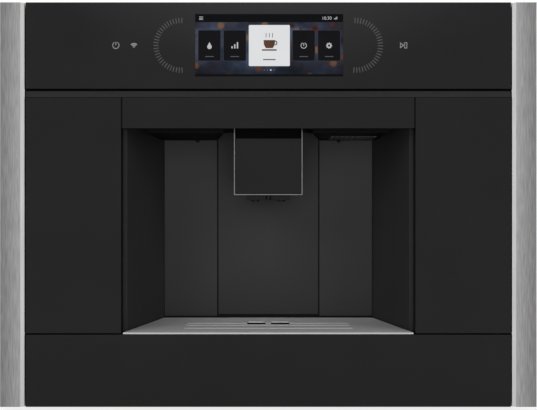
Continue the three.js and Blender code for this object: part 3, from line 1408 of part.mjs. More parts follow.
function place(name, shape, material) {
  const mesh = new THREE.Mesh(geometryOf(shape), material);
  mesh.name = name;
  machine.add(mesh);
}

const [lowHinge, highHinge] = hingeHeights();

place('base_pan', basePan(), BLACK_PLASTIC());
place('left_side_panel', sidePanel(-1), ZINC_SHEET());
place('right_side_panel', sidePanel(1), ZINC_SHEET());
place('rear_panel', rearPanel(), ZINC_SHEET());
place('top_panel', topPanel(), ZINC_SHEET());
place('front_frame', frontFrame(), PAINTED_BLACK());
place('left_trim', sideTrim(-1), STEEL());
place('right_trim', sideTrim(1), STEEL());
place('chassis_deck', chassisDeck(), PAINTED_BLACK());
place('niche_left_wall', nicheWall(-1), BLACK_PLASTIC());
place('niche_right_wall', nicheWall(1), BLACK_PLASTIC());
place('niche_ceiling', nicheCeiling(), BLACK_PLASTIC());
place('niche_back_left', nicheBackSide(-1), BLACK_PLASTIC());
place('niche_back_right', nicheBackSide(1), BLACK_PLASTIC());
place('niche_back_centre', nicheBackCentre(), BLACK_PLASTIC());
place('left_ceiling_pod', ceilingPod(-1), BLACK_PLASTIC());
place('right_ceiling_pod', ceilingPod(1), BLACK_PLASTIC());
place('niche_lamp_left', nicheLamp(-1), SMOKED_LENS());
place('niche_lamp_right', nicheLamp(1), SMOKED_LENS());
place('control_glass', controlGlass(), BLACK_GLASS());
place('control_housing', controlHousing(), BLACK_PLASTIC());
place('display_module', displayModule(), BLACK_GLASS());
place('control_board', controlBoard(), GREEN_BOARD());
place('door_frame', doorFrame(), BLACK_PLASTIC());
place('left_door_panel', doorPanel(-1), BLACK_GLASS());
place('right_door_panel', doorPanel(1), BLACK_GLASS());
place('door_header', doorHeader(), BLACK_GLASS());
place('door_grip_bar', doorGripBar(), BLACK_PLASTIC());
place('hinge_pin_lower', hingePin(lowHinge), STEEL());
place('hinge_pin_upper', hingePin(highHinge), STEEL());
place('hinge_arm_lower', hingeArm(lowHinge), STEEL());
place('hinge_arm_upper', hingeArm(highHinge), STEEL());
place('door_catch', doorCatch(), BLACK_PLASTIC());
place('drawer_front', drawerFront(), BLACK_GLASS());
place('drip_tray', dripTray(), BLACK_PLASTIC());
place('drip_plate', dripPlate(), STEEL());
place('grounds_container', groundsContainer(), BLACK_PLASTIC());
place('tray_float', trayFloat(), RED_PLASTIC());
place('dispenser_carriage', dispenserCarriage(), BLACK_PLASTIC());
place('dispenser_face', dispenserFace(), BLACK_GLASS());
place('dispenser_trim', dispenserTrim(), STEEL());
place('coffee_nozzle', coffeeNozzle(), BLACK_PLASTIC());
place('dispenser_guide', dispenserGuide(), BLACK_PLASTIC());
place('water_tank', waterTank(), CLEAR_PLASTIC());
place('tank_lid', tankLid(), CLEAR_PLASTIC());
place('water_pump', waterPump(), BLACK_PLASTIC());
place('thermoblock', thermoblock(), ALUMINIUM());
place('pressure_hose', pressureHose(), WHITE_HOSE());
place('brew_hose', brewHose(), WHITE_HOSE());
place('power_board', powerBoard(), GREEN_BOARD());
place('mains_inlet', mainsInlet(), BLACK_PLASTIC());
place('brew_unit_housing', brewUnitHousing(), BLACK_PLASTIC());
place('brew_piston', brewPiston(), RED_PLASTIC());
place('brew_gear', brewGear(), WHITE_HOSE());
place('brew_motor', brewMotor(), ALUMINIUM());
place('lock_lever', lockLever(), RED_PLASTIC());
place('grinder_body', grinderBody(), BLACK_PLASTIC());
place('grinder_burr', grinderBurr(), STEEL());
place('bean_container', beanContainer(), CLEAR_PLASTIC());
place('bean_lid', beanLid(), CLEAR_PLASTIC());

export default machine;
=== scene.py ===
# %% [markdown]
# # Dressing a built-in coffee machine
# The machine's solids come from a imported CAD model. They carry the joints and the collision shapes,
# so they stay where they are. This script gives every solid a finish, and puts finer pieces where
# the eye needs more than a plain solid: softened edges, a lit display, printed marks, screws and
# hoses.

# %% Load the frame
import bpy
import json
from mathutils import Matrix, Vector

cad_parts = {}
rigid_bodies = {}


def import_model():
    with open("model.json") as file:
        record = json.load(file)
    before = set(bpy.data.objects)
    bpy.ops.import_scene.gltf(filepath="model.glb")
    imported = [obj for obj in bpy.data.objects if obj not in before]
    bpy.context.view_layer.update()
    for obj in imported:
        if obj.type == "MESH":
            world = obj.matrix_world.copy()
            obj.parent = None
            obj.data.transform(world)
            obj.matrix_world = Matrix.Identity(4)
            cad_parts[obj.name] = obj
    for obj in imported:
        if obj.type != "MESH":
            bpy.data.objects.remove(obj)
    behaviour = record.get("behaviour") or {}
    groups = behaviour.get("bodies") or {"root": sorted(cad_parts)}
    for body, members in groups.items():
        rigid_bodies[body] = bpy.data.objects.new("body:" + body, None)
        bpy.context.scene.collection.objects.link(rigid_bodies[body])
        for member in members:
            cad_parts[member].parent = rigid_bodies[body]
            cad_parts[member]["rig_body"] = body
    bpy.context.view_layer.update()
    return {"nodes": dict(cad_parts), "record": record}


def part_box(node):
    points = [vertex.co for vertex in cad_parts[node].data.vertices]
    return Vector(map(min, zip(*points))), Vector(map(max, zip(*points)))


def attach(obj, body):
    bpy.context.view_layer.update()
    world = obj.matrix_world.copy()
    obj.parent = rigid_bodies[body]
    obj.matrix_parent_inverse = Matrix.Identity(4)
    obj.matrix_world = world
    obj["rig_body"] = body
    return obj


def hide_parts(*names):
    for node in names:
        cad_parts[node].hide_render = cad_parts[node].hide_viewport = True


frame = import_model()
nodes = frame["nodes"]

# %% [markdown]
# The CAD works in millimetres and Blender in metres, so one factor turns sizes round.

# %% Modules, units and the planes that everything hangs on
import json
import math
import random

import bmesh
import bpy
from mathutils import Vector

MM = 0.001
scene = bpy.context.scene


def box_mm(name):
    """Lowest and highest corner of a solid, in millimetres."""
    low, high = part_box(name)
    return low / MM, high / MM


GLASS_LOW, GLASS_HIGH = box_mm("control_glass")
FRONT = GLASS_LOW.y
print("front plane at y =", round(FRONT, 2), "mm")

# %% [markdown]
# ## Camera
# The photo looks straight at the front, with the eye level with the front's middle. The niche's
# walls converge, which gives a distance of a little over a metre. The lens follows from that
# distance and from the width that the picture shows on the front plane.

# %% Camera
PICTURE_WIDTH = 537
PIXEL = 1.1104  # millimetres that one pixel shows on the front plane
SENSOR = 36
SIGHT = (0.05, 50)  # nearest and furthest that the camera sees, in metres
EYE_ACROSS, EYE_DISTANCE, EYE_HEIGHT = 0.28, 1055, 229.9


def added(name, data):
    """A new object in the scene."""
    made = bpy.data.objects.new(name, data)
    scene.collection.objects.link(made)
    return made


camera = added("front_view", bpy.data.cameras.new("front_view"))
camera.data.sensor_width = SENSOR
camera.data.lens = SENSOR * EYE_DISTANCE / (PICTURE_WIDTH * PIXEL)
camera.data.clip_start, camera.data.clip_end = SIGHT
camera.location = Vector((EYE_ACROSS, FRONT - EYE_DISTANCE, EYE_HEIGHT)) * MM
camera.rotation_euler = (math.radians(90), 0, 0)
scene.camera = camera
print("lens", round(camera.data.lens, 2), "mm")

# %% [markdown]
# ## Nodes in one line
# The world, every finish and the Geometry Nodes trees further down are made of nodes. Wired one by
# one, each value and each link takes a line. The helpers here make a node with its inputs in one
# call, so that a small tree reads like a formula.

# %% Helpers for nodes
def fill(tree, made, inputs):
    """Gives a node its inputs: a node or a socket is linked, and anything else is a plain value."""
    for label, value in inputs.items():
        if isinstance(value, bpy.types.Node):
            value = value.outputs[0]
        if isinstance(value, bpy.types.NodeSocket):
            tree.links.new(value, made.inputs[label])
        else:
            made.inputs[label].default_value = value
    return made


def node(tree, kind, inputs=None, **settings):
    """A new node with its settings and inputs."""
    made = tree.nodes.new(kind)
    for label, value in settings.items():
        setattr(made, label, value)
    return fill(tree, made, inputs or {})


def maths(tree, operation, *values):
    """One sum on sockets or numbers."""
    return node(tree, "ShaderNodeMath", dict(enumerate(values)), operation=operation).outputs[0]


def ranged(tree, value, source, target):
    """A value carried over from one range to another."""
    return node(tree, "ShaderNodeMapRange", {
        "Value": value, "From Min": source[0], "From Max": source[1],
        "To Min": target[0], "To Max": target[1],
    }).outputs["Result"]


def object_place(tree):
    """Where a point lies on its own object."""
    return node(tree, "ShaderNodeTexCoord").outputs["Object"]


def new_finish(name):
    """An empty material with its shader."""
    material = bpy.data.materials.new(name)
    material.use_nodes = True
    return material, material.node_tree, material.node_tree.nodes["Principled BSDF"]


# %% [markdown]
# ## Studio
# A product photo of black glass needs little: an even white surround, so that metal has something
# to mirror, and large soft boxes, so that edges and the niche get some direction. The surround is
# white only for what the camera, a reflection or a clear part sees. What falls on the object is
# weaker, so that colours come out about as they are written. One more soft box, with a grid that
# narrows its beam, is there only for its reflection: a pale glow at the top of the header glass.

# %% World and lamps
scene.view_settings.view_transform = "Standard"
scene.world = bpy.data.worlds.new("studio_white")
scene.world.use_nodes = True
surround = scene.world.node_tree
SKY_ON_OBJECT = 0.55


def seen_share(tree):
    """One for the camera, a reflection and a clear part, and nought where light is gathered."""
    path = node(tree, "ShaderNodeLightPath").outputs
    seen = path["Is Camera Ray"]
    for ray in ("Is Glossy Ray", "Is Transmission Ray"):
        seen = maths(tree, "MAXIMUM", seen, path[ray])
    return seen


fill(surround, surround.nodes["Background"], {
    "Strength": ranged(surround, seen_share(surround), (0, 1), (SKY_ON_OBJECT, 1)),
    "Color": (1, 1, 1, 1),
})


def soft_box(name, place, aim, size, watts, mirrored=False, **settings):
    """A large square lamp that looks from one point to another. Most stay out of mirrors."""
    lamp = added(name, bpy.data.lights.new(name, "AREA"))
    for label, value in {"size": size, "energy": watts, **settings}.items():
        setattr(lamp.data, label, value)
    lamp.location = place
    lamp.rotation_euler = (Vector(aim) - Vector(place)).to_track_quat("-Z", "Y").to_euler()
    lamp.visible_camera = False
    lamp.visible_glossy = mirrored
    return lamp


soft_box("key_left", (-1.5, -2.1, 1.5), (0, 0, 0.25), 1.2, 20)
soft_box("fill_right", (1.7, -1.9, 1.1), (0, 0, 0.22), 1.2, 14)
soft_box("rear_fill", (0.8, 2.4, 1.6), (0, 0, 0.2), 1.4, 26)
soft_box("overhead", (0, 0.1, 2.6), (0, 0, 0.2), 1.6, 14, mirrored=True)
soft_box("front_fill", (0, -2.6, 0.32), (0, 0, 0.22), 1.0, 16)
header_glow = soft_box(
    "header_glow", (0, -2.7, 0.87), (0, -0.2, -0.415), 2.0, 0.66, mirrored=True,
    shape="RECTANGLE", size_y=0.5, spread=math.radians(39),
)
header_glow.visible_diffuse = False

# %% [markdown]
# The floor is a pale sheet. To the camera and in mirrors it glows, nearly as bright as the
# surround. Near the object about a fifth of it still answers to light, so the object's shadow
# stays, and further away it fades into the white, so that no horizon shows.

# %% Floor
FLOOR_CORNERS = ((-6, -6), (6, -6), (6, 6), (-6, 6))  # metres
FLOOR_Z = -0.0002
FADE_REACH = (0.3, 2.2)  # metres from the middle over which the floor fades
FADE_GLOW = (0.82, 1.0)


def new_piece(name, builder):
    """A mesh object at the origin, made from a bmesh."""
    mesh = bpy.data.meshes.new(name)
    builder.to_mesh(mesh)
    builder.free()
    return added(name, mesh)


builder = bmesh.new()
builder.faces.new([builder.verts.new((x, y, FLOOR_Z)) for x, y in FLOOR_CORNERS])
floor = new_piece("floor", builder)
floor_finish, tree, pale = new_finish("pale_floor")
fill(tree, pale, {
    "Base Color": (0.86, 0.86, 0.86, 1), "Roughness": 0.9, "Specular IOR Level": 0.1,
})
distance = node(tree, "ShaderNodeVectorMath", {0: object_place(tree)}, operation="LENGTH")
fading = ranged(tree, distance.outputs["Value"], FADE_REACH, FADE_GLOW)
blend = node(tree, "ShaderNodeMixShader", {
    "Fac": maths(tree, "MULTIPLY", seen_share(tree), fading),
    1: pale, 2: node(tree, "ShaderNodeEmission"),
})
fill(tree, tree.nodes["Material Output"], {"Surface": blend})
floor.data.materials.append(floor_finish)
print("floor at z =", FLOOR_Z, "m")

# %% [markdown]
# ## How a finish is built
# Real surfaces are never one colour. Each finish here starts from a noise in the object's own
# coordinates, stretched where the real grain runs one way. The same noise moves the colour between
# two close tones and the roughness between two values, and a finer one raises a slight relief. The
# trims, the drip plate and the niche's liner also let their tone drift along one axis, and that drift
# is painted light and shade: the trims are painted darker towards their outer edges, and the plate
# and the liner lighter towards the niche's back and top, against the shade that falls there.

# %% Helpers for finishes
NOISE_SPAN = (0.3, 0.7)  # the range in which a noise mostly stays
PLAIN, RICH, SOFT = 4.0, 6.0, 2.0  # how much fine detail a noise has


def three(value):
    """One number stands for three, as in a grey or in a cell that is equally long each way."""
    return (value,) * 3 if isinstance(value, (int, float)) else value


def placed(tree, cell):
    """Object coordinates, scaled so that one unit is a cell of these millimetres."""
    scale = [1 / (side * MM) for side in three(cell)]
    return node(tree, "ShaderNodeMapping", {"Vector": object_place(tree), "Scale": scale})


def grain(tree, cell, detail=PLAIN):
    """A noise whose spots are about one cell long in each direction."""
    return node(tree, "ShaderNodeTexNoise", {
        "Vector": placed(tree, cell), "Scale": 1.0, "Detail": detail,
    }).outputs["Fac"]


def tones(tree, factor, *colours, spread=NOISE_SPAN):
    """A ramp through these colours, evenly over the spread."""
    ramp = node(tree, "ShaderNodeValToRGB", {"Fac": factor})
    stops = ramp.color_ramp.elements
    for index, colour in enumerate(colours):
        at = spread[0] + (spread[1] - spread[0]) * index / (len(colours) - 1)
        stop = stops[index] if index < 2 else stops.new(at)
        stop.position = at
        stop.color = (*three(colour), 1)
    return ramp.outputs["Color"]


def along(tree, axis):
    """How far a point lies along one axis of its object."""
    return node(tree, "ShaderNodeSeparateXYZ", {0: object_place(tree)}).outputs[axis]


def painted_shading_drift(tree, noise, axis, limits, share):
    """A share of noise on a tone that drifts along an axis between limits (mm): painted shading."""
    drift = ranged(
        tree, along(tree, axis), [limit * MM for limit in limits],
        [end - share / 2 for end in NOISE_SPAN],
    )
    return maths(tree, "MULTIPLY_ADD", noise, share, drift)


def relief(tree, cell, depth_mm, strength, detail=SOFT):
    """A slight relief of that depth, as a normal."""
    return node(tree, "ShaderNodeBump", {
        "Height": grain(tree, cell, detail), "Distance": depth_mm * MM, "Strength": strength,
    })


def finish(name, colours, cell, rough, fine, depth_mm=0.02, strength=0.3, drift=None, **sockets):
    """A finish from one broad noise and one fine relief. Sockets are the shader's own values."""
    material, tree, shader = new_finish(name)
    broad = grain(tree, cell, RICH if drift else PLAIN)
    fill(tree, shader, {
        "Base Color": tones(tree, painted_shading_drift(tree, broad, *drift) if drift else broad, *colours),
        "Roughness": ranged(tree, broad, NOISE_SPAN, rough),
        "Normal": relief(tree, fine, depth_mm, strength),
        **{label.replace("_", " "): value for label, value in sockets.items()},
    })
    return material


# %% [markdown]
# ## Finishes of the front
# - The front panels are glass, printed black from behind. Their own colour is almost black and
#   even, and what gives them away is a faint smear in the gloss. Gloss is kept low, because the
#   surround is white and would grey the black.
# - The side trims are steel, brushed from top to bottom: the noise is stretched about fifteen times
#   along Z. Their colour is painted a little darker towards the outer edge: painted shade, as where a
#   sheet rolls away from the light, though each trim's front face is flat. The bevel beside the glass
#   is polished, so it is brighter and has almost no grain.
# - The grip strip is satin black, between plastic and anodised metal.

# %% Finishes of the front
black_glass = finish(
    "black_glass", (0.0052, 0.0066), (90, 90, 70), (0.06, 0.13), 40, 0.01, 0.05,
    Specular_IOR_Level=0.16,
)
# The drift along X is painted shade: each trim is painted darker towards its outer edge.
TRIM_OUTER, TRIM_INNER = (abs(corner.x) for corner in box_mm("left_trim"))
trim_steel_left, trim_steel_right = (
    finish(
        name, (0.19, 0.28, 0.375), (1.3, 1.3, 20), (0.28, 0.40), (0.35, 0.35, 18),
        drift=("X", (side * TRIM_OUTER, side * TRIM_INNER), 0.7), Metallic=1.0,
    ) for name, side in (("brushed_trim_left", -1), ("brushed_trim_right", 1))
)
polished_steel = finish(
    "polished_edge", (0.52, 0.60), (6, 6, 60), (0.16, 0.22), (0.8, 0.8, 30), 0.004, 0.1,
    Metallic=1.0,
)
grip_satin = finish(
    "grip_satin", (0.009, 0.012), (30, 2, 2), (0.34, 0.42), 0.5, 0.01, 0.15,
    Specular_IOR_Level=0.18,
)
print("front finishes", [m.name for m in bpy.data.materials if m.use_nodes][-5:])

# %% [markdown]
# ## Softening a solid
# No real edge is a perfect line. A moulded edge has a radius of half a millimetre, a sheet edge is
# broken, and both catch a thread of light. A CAD solid comes as loose triangles, so a copy of it is
# merged, its flat faces are joined again, and a narrow bevel runs round every sharp edge. The copy
# then stands for the solid, which stays hidden underneath for the joints and the collisions.

# %% Helpers for pieces
MERGE_WITHIN = 1e-6  # metres
FLAT_WITHIN = 0.5  # degrees
SHARP_OVER = 38


def drawn_out(builder, outline, push):
    """A prism: an outline, the same outline pushed along, and the walls between the two."""
    near = [builder.verts.new(point * MM) for point in outline]
    far = [builder.verts.new((point + push) * MM) for point in outline]
    builder.faces.new(near)
    builder.faces.new(far[::-1])
    for here in range(len(outline)):
        there = (here + 1) % len(outline)
        builder.faces.new((near[there], near[here], far[here], far[there]))


def outwards(builder):
    """Turns every face outwards."""
    bmesh.ops.recalc_face_normals(builder, faces=builder.faces)
    return builder


def flat_joined(builder):
    """Joins neighbouring faces that lie in one plane."""
    bmesh.ops.dissolve_limit(
        builder, angle_limit=math.radians(FLAT_WITHIN), verts=builder.verts, edges=builder.edges
    )


def smooth_over(piece, angle=SHARP_OVER):
    """Smooth shading, with edges sharper than the angle kept crisp."""
    piece.data.polygons.foreach_set("use_smooth", [True] * len(piece.data.polygons))
    piece.data.set_sharp_from_angle(angle=math.radians(angle))


def round_edges(piece, width, angle=SHARP_OVER):
    """A narrow bevel on the sharp edges, in millimetres."""
    smooth_over(piece, angle)
    bevel = piece.modifiers.new("edge_radius", "BEVEL")
    bevel.width = width * MM
    bevel.segments = 2
    bevel.limit_method = "ANGLE"
    bevel.angle_limit = math.radians(angle)
    bevel.harden_normals = True


def settle(piece, body, material, stands_for=()):
    """Gives the piece its finish, ties it to its body and hides the solids it stands for."""
    if not piece.data.materials:
        piece.data.materials.append(material)
    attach(piece, body)
    if stands_for:
        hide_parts(*stands_for)
    print(piece.name, "has", len(piece.data.polygons), "faces and rides on", body)
    return piece


SLOT_OF = {part["node"]: part["material_slot"] for part in frame["record"]["subparts"]}


def softened(node_name, material, width=0.5):
    """A copy of a solid with its edges rounded, standing for that solid."""
    builder = bmesh.new()
    builder.from_mesh(nodes[node_name].data)
    bmesh.ops.remove_doubles(builder, verts=builder.verts, dist=MERGE_WITHIN)
    flat_joined(builder)
    piece = new_piece(node_name + "_soft", builder)
    round_edges(piece, width)
    body = nodes[node_name]["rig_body"]
    return settle(piece, body, material, [node_name])


print("slots known for", len(SLOT_OF), "solids")

# %% [markdown]
# ## Door, header and drawer front
# Four flat glass panels share the front plane with narrow seams between them. On the real machine
# each is a ground sheet of glass, so a narrow bevel is enough. The grip strip leans back and lets
# fingers in, and its satin face reads a little lighter than the glass.

# %% Flat front panels
for panel in ("left_door_panel", "right_door_panel", "door_header", "drawer_front"):
    softened(panel, black_glass, 0.35)
softened("door_grip_bar", grip_satin, 0.4)

# %% [markdown]
# ## Side trims
# Each trim is a steel channel, folded from one sheet. It could be cut from a block, but a folded
# sheet has the same section all the way up. So the section is drawn once in plan and drawn up
# between two heights, and then the bevelled face gets the polished finish.

# %% Side trims
TRIM_SHEET = 1.5
BEVEL_RUN = 4.4
BEVEL_DEPTH = 2.4


def stood_up(plan, low_z, high_z):
    """A folded sheet: its section drawn in plan and drawn up between two heights, as a bmesh."""
    builder = bmesh.new()
    drawn_out(builder, [Vector((x, y, low_z)) for x, y in plan], Vector((0, 0, high_z - low_z)))
    return outwards(builder)


def trim(side, node_name, brushed):
    """A folded channel between the solid's own corners."""
    low, high = box_mm(node_name)
    outer, inner = (high.x, low.x) if side > 0 else (low.x, high.x)
    t = TRIM_SHEET * side
    run = BEVEL_RUN * side
    builder = stood_up([
        (outer, FRONT), (outer, high.y), (outer - t, high.y), (outer - t, FRONT + TRIM_SHEET),
        (inner + run, FRONT + TRIM_SHEET), (inner + t, FRONT + BEVEL_DEPTH + TRIM_SHEET / 2),
        (inner + t, high.y), (inner, high.y), (inner, FRONT + BEVEL_DEPTH), (inner + run, FRONT),
    ], low.z, high.z)
    for face in builder.faces:
        leans_in = abs(face.normal.x) > 0.3 and face.normal.y < -0.5
        face.material_index = 1 if leans_in else 0
    piece = new_piece(node_name + "_folded", builder)
    for metal in (brushed, polished_steel):
        piece.data.materials.append(metal)
    round_edges(piece, 0.3, 20)
    return settle(piece, "housing", brushed, [node_name])


trim(-1, "left_trim", trim_steel_left)
trim(1, "right_trim", trim_steel_right)

# %% [markdown]
# ## Control glass and its window
# The control panel is one sheet of glass. Behind its middle sits the display, which shows through a
# clear window. A hole through the sheet, with the lit screen just inside it, gives the same look
# from every side without asking the renderer for clear glass. The marks are printed on the glass,
# so they stand a few hundredths of a millimetre in front of it.

# %% Control glass
PRINT = 0.05  # thickness of the printed marks, and how far the glass stays back for them
WINDOW_X = 1.0  # the window sits a millimetre right of the middle
WINDOW_Z = 407.2
WINDOW_HALF_WIDTH = 82.1
WINDOW_HALF_HEIGHT = 34.6


def pierced_sheet(name, x_limits, z_limits, holes, front, back):
    """A flat sheet in X and Z with rectangular holes, built on the lines that the holes give."""
    builder = bmesh.new()
    xs = sorted({*x_limits, *(x for hole in holes for x in hole[0])})
    zs = sorted({*z_limits, *(z for hole in holes for z in hole[1])})
    cells = []
    for row in range(len(zs) - 1):
        for column in range(len(xs) - 1):
            x = (xs[column] + xs[column + 1]) / 2
            z = (zs[row] + zs[row + 1]) / 2
            if not any(hx[0] < x < hx[1] and hz[0] < z < hz[1] for hx, hz in holes):
                cells.append((row, column))
    grids = [
        [[builder.verts.new(Vector((x, y, z)) * MM) for x in xs] for z in zs] for y in (front, back)
    ]
    for row, column in cells:
        corners = [(row, column), (row, column + 1), (row + 1, column + 1), (row + 1, column)]
        beside = [(row - 1, column), (row, column + 1), (row + 1, column), (row, column - 1)]
        near, far = ([grid[r][c] for r, c in corners] for grid in grids)
        builder.faces.new(near)
        builder.faces.new(far[::-1])
        for here, neighbour in enumerate(beside):
            if neighbour not in cells:
                there = (here + 1) % 4
                builder.faces.new((near[there], near[here], far[here], far[there]))
    bmesh.ops.delete(builder, geom=[v for v in builder.verts if not v.link_faces], context="VERTS")
    flat_joined(outwards(builder))
    return new_piece(name, builder)


def both_ways(middle, half):
    return middle - half, middle + half


window = (both_ways(WINDOW_X, WINDOW_HALF_WIDTH), both_ways(WINDOW_Z, WINDOW_HALF_HEIGHT))
glass_sheet = pierced_sheet(
    "control_glass_sheet", (GLASS_LOW.x, GLASS_HIGH.x), (GLASS_LOW.z, GLASS_HIGH.z),
    [window], FRONT + PRINT, GLASS_HIGH.y,
)
round_edges(glass_sheet, 0.3)
settle(glass_sheet, "housing", black_glass, ["control_glass"])
print("window", [round(v, 1) for pair in window for v in pair])

# %% [markdown]
# ## Flat marks
# Icons, ticks and screen tiles are all thin plates seen from the front. One helper turns any
# outline in X and Z into such a plate. Round shapes are drawn as points on arcs, so an icon is just
# a short list of outlines.

# %% Helpers for flat marks
def shifted(outline, x, z):
    return [(px + x, pz + z) for px, pz in outline]


def ring_points(radius, start, stop, steps):
    """Points on an arc, angles in degrees from the top, clockwise as seen from the front."""
    points = []
    for index in range(steps + 1):
        angle = math.radians(start + (stop - start) * index / steps)
        points.append((radius * math.sin(angle), radius * math.cos(angle)))
    return points


def arc_band(inner, outer, start, stop, steps=24):
    """A band along an arc."""
    return ring_points(outer, start, stop, steps) + ring_points(inner, stop, start, steps)


def disc(radius, steps=24):
    return ring_points(radius, 0, 360 * (steps - 1) / steps, steps - 1)


def bar(width, height, x=0.0, z=0.0):
    return [
        (x - width / 2, z - height / 2), (x + width / 2, z - height / 2),
        (x + width / 2, z + height / 2), (x - width / 2, z + height / 2),
    ]


def rounded(width, height, radius, x=0.0, z=0.0, steps=5):
    """A rectangle with round corners."""
    points = []
    for sx, sz, start in ((1, 1, 0), (1, -1, 90), (-1, -1, 180), (-1, 1, 270)):
        corner = (x + sx * (width / 2 - radius), z + sz * (height / 2 - radius))
        points += shifted(ring_points(radius, start, start + 90, steps), *corner)
    return points


def plates(name, outlines, at, front, thickness):
    """Thin plates with these outlines, all with their faces at one depth."""
    builder = bmesh.new()
    for outline in outlines:
        face = [Vector((at[0] + x, front, at[1] + z)) for x, z in outline]
        drawn_out(builder, face, Vector((0, thickness, 0)))
    return new_piece(name, outwards(builder))


# %% [markdown]
# ## Printed marks on the glass
# Ink on glass is matt and slightly uneven where the screen mesh laid it down. The marks are a power
# ring, a signal fan and a start-and-stop pair: plain symbols that many appliances share.

# %% Printed marks
def ink_finish(name, colours, cell):
    return finish(name, colours, cell, (0.5, 0.65), 0.12, 0.01, 0.2, Specular_IOR_Level=0.3)


ink = ink_finish("printed_ink", (0.20, 0.27), 0.5)
MARK_Z = 407.2
FAN_FOOT = -2.9
power_mark = [arc_band(3.15, 3.95, 24, 336, 32), bar(0.8, 3.6, 0, 2.0)]
fan_mark = [[(0, FAN_FOOT)] + shifted(ring_points(1.5, -42, 42, 6), 0, FAN_FOOT)]
for inner, outer in ((2.2, 3.4), (4.1, 5.4)):
    fan_mark.append(shifted(arc_band(inner, outer, -42, 42, 12), 0, FAN_FOOT))
start_mark = [
    [(-3.9, 3.4), (-3.9, -3.4), (-3.2, -2.1), (-3.2, 2.1)],
    [(-3.9, -3.4), (0.2, -0.35), (0.2, 0.0), (-0.9, 0.0), (-3.2, -2.1)],
    [(-3.9, 3.4), (-3.2, 2.1), (-0.9, 0.0), (0.2, 0.0), (0.2, 0.35)],
    bar(0.65, 6.6, 1.1, 0), bar(0.65, 6.6, 3.6, 0),
    bar(1.85, 0.65, 2.35, 2.97), bar(1.85, 0.65, 2.35, -2.97),
]
for mark_name, outlines, x in (
    ("power_mark", power_mark, -169.2), ("signal_mark", fan_mark, -149.1),
    ("start_mark", start_mark, 150.3),
):
    mark = plates(mark_name, outlines, (x, MARK_Z), FRONT, PRINT)
    settle(mark, "housing", ink)
print("marks printed at z =", MARK_Z)

# %% [markdown]
# ## The screen
# A display shows light, so its finish is an emission and not a paint. The wallpaper is made up for
# this part: slate blue, clouded by noise, with soft out-of-focus discs in umber, copper and
# crimson. The discs are the cells of a Voronoi texture, cut off at a radius and kept only where a
# random value of the cell is high. Towards its lower edge the picture fades.

# %% Screen wallpaper
def lit(name, colour_maker):
    """A finish that shines with the colour its maker returns."""
    material, tree, shader = new_finish(name)
    veil = grain(tree, 30)
    fill(tree, shader, {
        "Emission Color": colour_maker(tree), "Emission Strength": 1.0, "Specular IOR Level": 0.02,
        "Base Color": tones(tree, veil, 0.0008, 0.0012),
        "Roughness": ranged(tree, veil, NOISE_SPAN, (0.22, 0.30)),
    })
    return material


def mixed(tree, factor, first, second):
    """Two colours mixed."""
    return node(
        tree, "ShaderNodeMix", {"Factor": factor, 6: first, 7: second}, data_type="RGBA"
    ).outputs[2]


def voronoi(tree, cell, randomness=1.0):
    """Cells of about this size: each one's random values, and the distance from its middle."""
    cells = node(tree, "ShaderNodeTexVoronoi", {
        "Vector": placed(tree, cell), "Scale": 1.0, "Randomness": randomness,
    }).outputs
    chances = node(tree, "ShaderNodeSeparateColor", {"Color": cells["Color"]}).outputs
    return chances, cells["Distance"]


def wallpaper_colour(tree):
    clouds = tones(
        tree, grain(tree, (34, 34, 22), 5.0),
        (0.008, 0.011, 0.017), (0.028, 0.040, 0.068), (0.070, 0.095, 0.155),
    )
    umber = tones(tree, grain(tree, 12), (0.010, 0.006, 0.006), (0.050, 0.022, 0.018))
    warmth = ranged(tree, grain(tree, (44, 44, 30), SOFT), NOISE_SPAN, (-0.15, 0.6))
    chances, distance = voronoi(tree, (9.5, 60, 9.5), 0.9)
    round_spot = ranged(tree, distance, (0.26, 0.50), (1, 0))
    warm = tones(
        tree, chances[1],
        (0.035, 0.014, 0.008), (0.10, 0.050, 0.030), (0.085, 0.010, 0.016), (0.16, 0.085, 0.05),
        spread=(0.1, 0.9),
    )
    spots = maths(tree, "MULTIPLY", round_spot, maths(tree, "GREATER_THAN", chances[0], 0.42))
    picture = mixed(tree, spots, mixed(tree, warmth, clouds, umber), warm)
    fade_z = [z * MM for z in (WINDOW_Z - WINDOW_HALF_HEIGHT, WINDOW_Z - 10)]
    fade = ranged(tree, along(tree, "Z"), fade_z, (0.3, 1))
    return node(tree, "ShaderNodeVectorMath", {0: picture, "Scale": fade}, operation="SCALE")


SCREEN = 0.30  # how far the picture lies behind the front plane
LAYER = 0.03  # each thing drawn on it stands this much further out
wallpaper = lit("screen_wallpaper", wallpaper_colour)


def on_screen(name, outlines, layer, material, thickness=LAYER * 0.8):
    """Something drawn on the screen, in front of its lower layers."""
    front = FRONT + SCREEN - layer * LAYER
    piece = plates(name, outlines, (WINDOW_X, WINDOW_Z), front, thickness)
    return settle(piece, "housing", material)


on_screen(
    "screen_picture", [bar(2 * WINDOW_HALF_WIDTH, 2 * WINDOW_HALF_HEIGHT)], 0, wallpaper,
    box_mm("display_module")[0].y - FRONT - SCREEN,
)

# %% [markdown]
# The menu is a generic layout: a dark status strip, one large light tile in the middle with a plain
# cup, and two smaller dark tiles on each side with a simple sign: a drop, rising bars, a ring with
# a stroke and a cog. All of it is drawn as outlines, so a table of them is the whole menu.

# %% Screen tiles
def even(name, colour, spread=0.06):
    """One screen colour with the slight unevenness of a backlight."""
    dim = [c * (1 - spread) for c in three(colour)]
    return lit(name, lambda tree: tones(tree, grain(tree, 24), dim, colour))


strip_dark = even("strip_dark", (0.0030, 0.0034, 0.0042))
tile_dark = even("tile_dark", (0.0062, 0.0062, 0.0082), 0.2)
tile_edge = even("tile_edge", (0.042, 0.052, 0.068), 0.2)
tile_light = even("tile_light", (0.735, 0.74, 0.76), 0.02)
sign_pale = even("sign_pale", 0.50)
sign_grey = even("sign_grey", (0.10, 0.11, 0.12))
sign_warm = even("sign_warm", (0.11, 0.052, 0.03), 0.2)

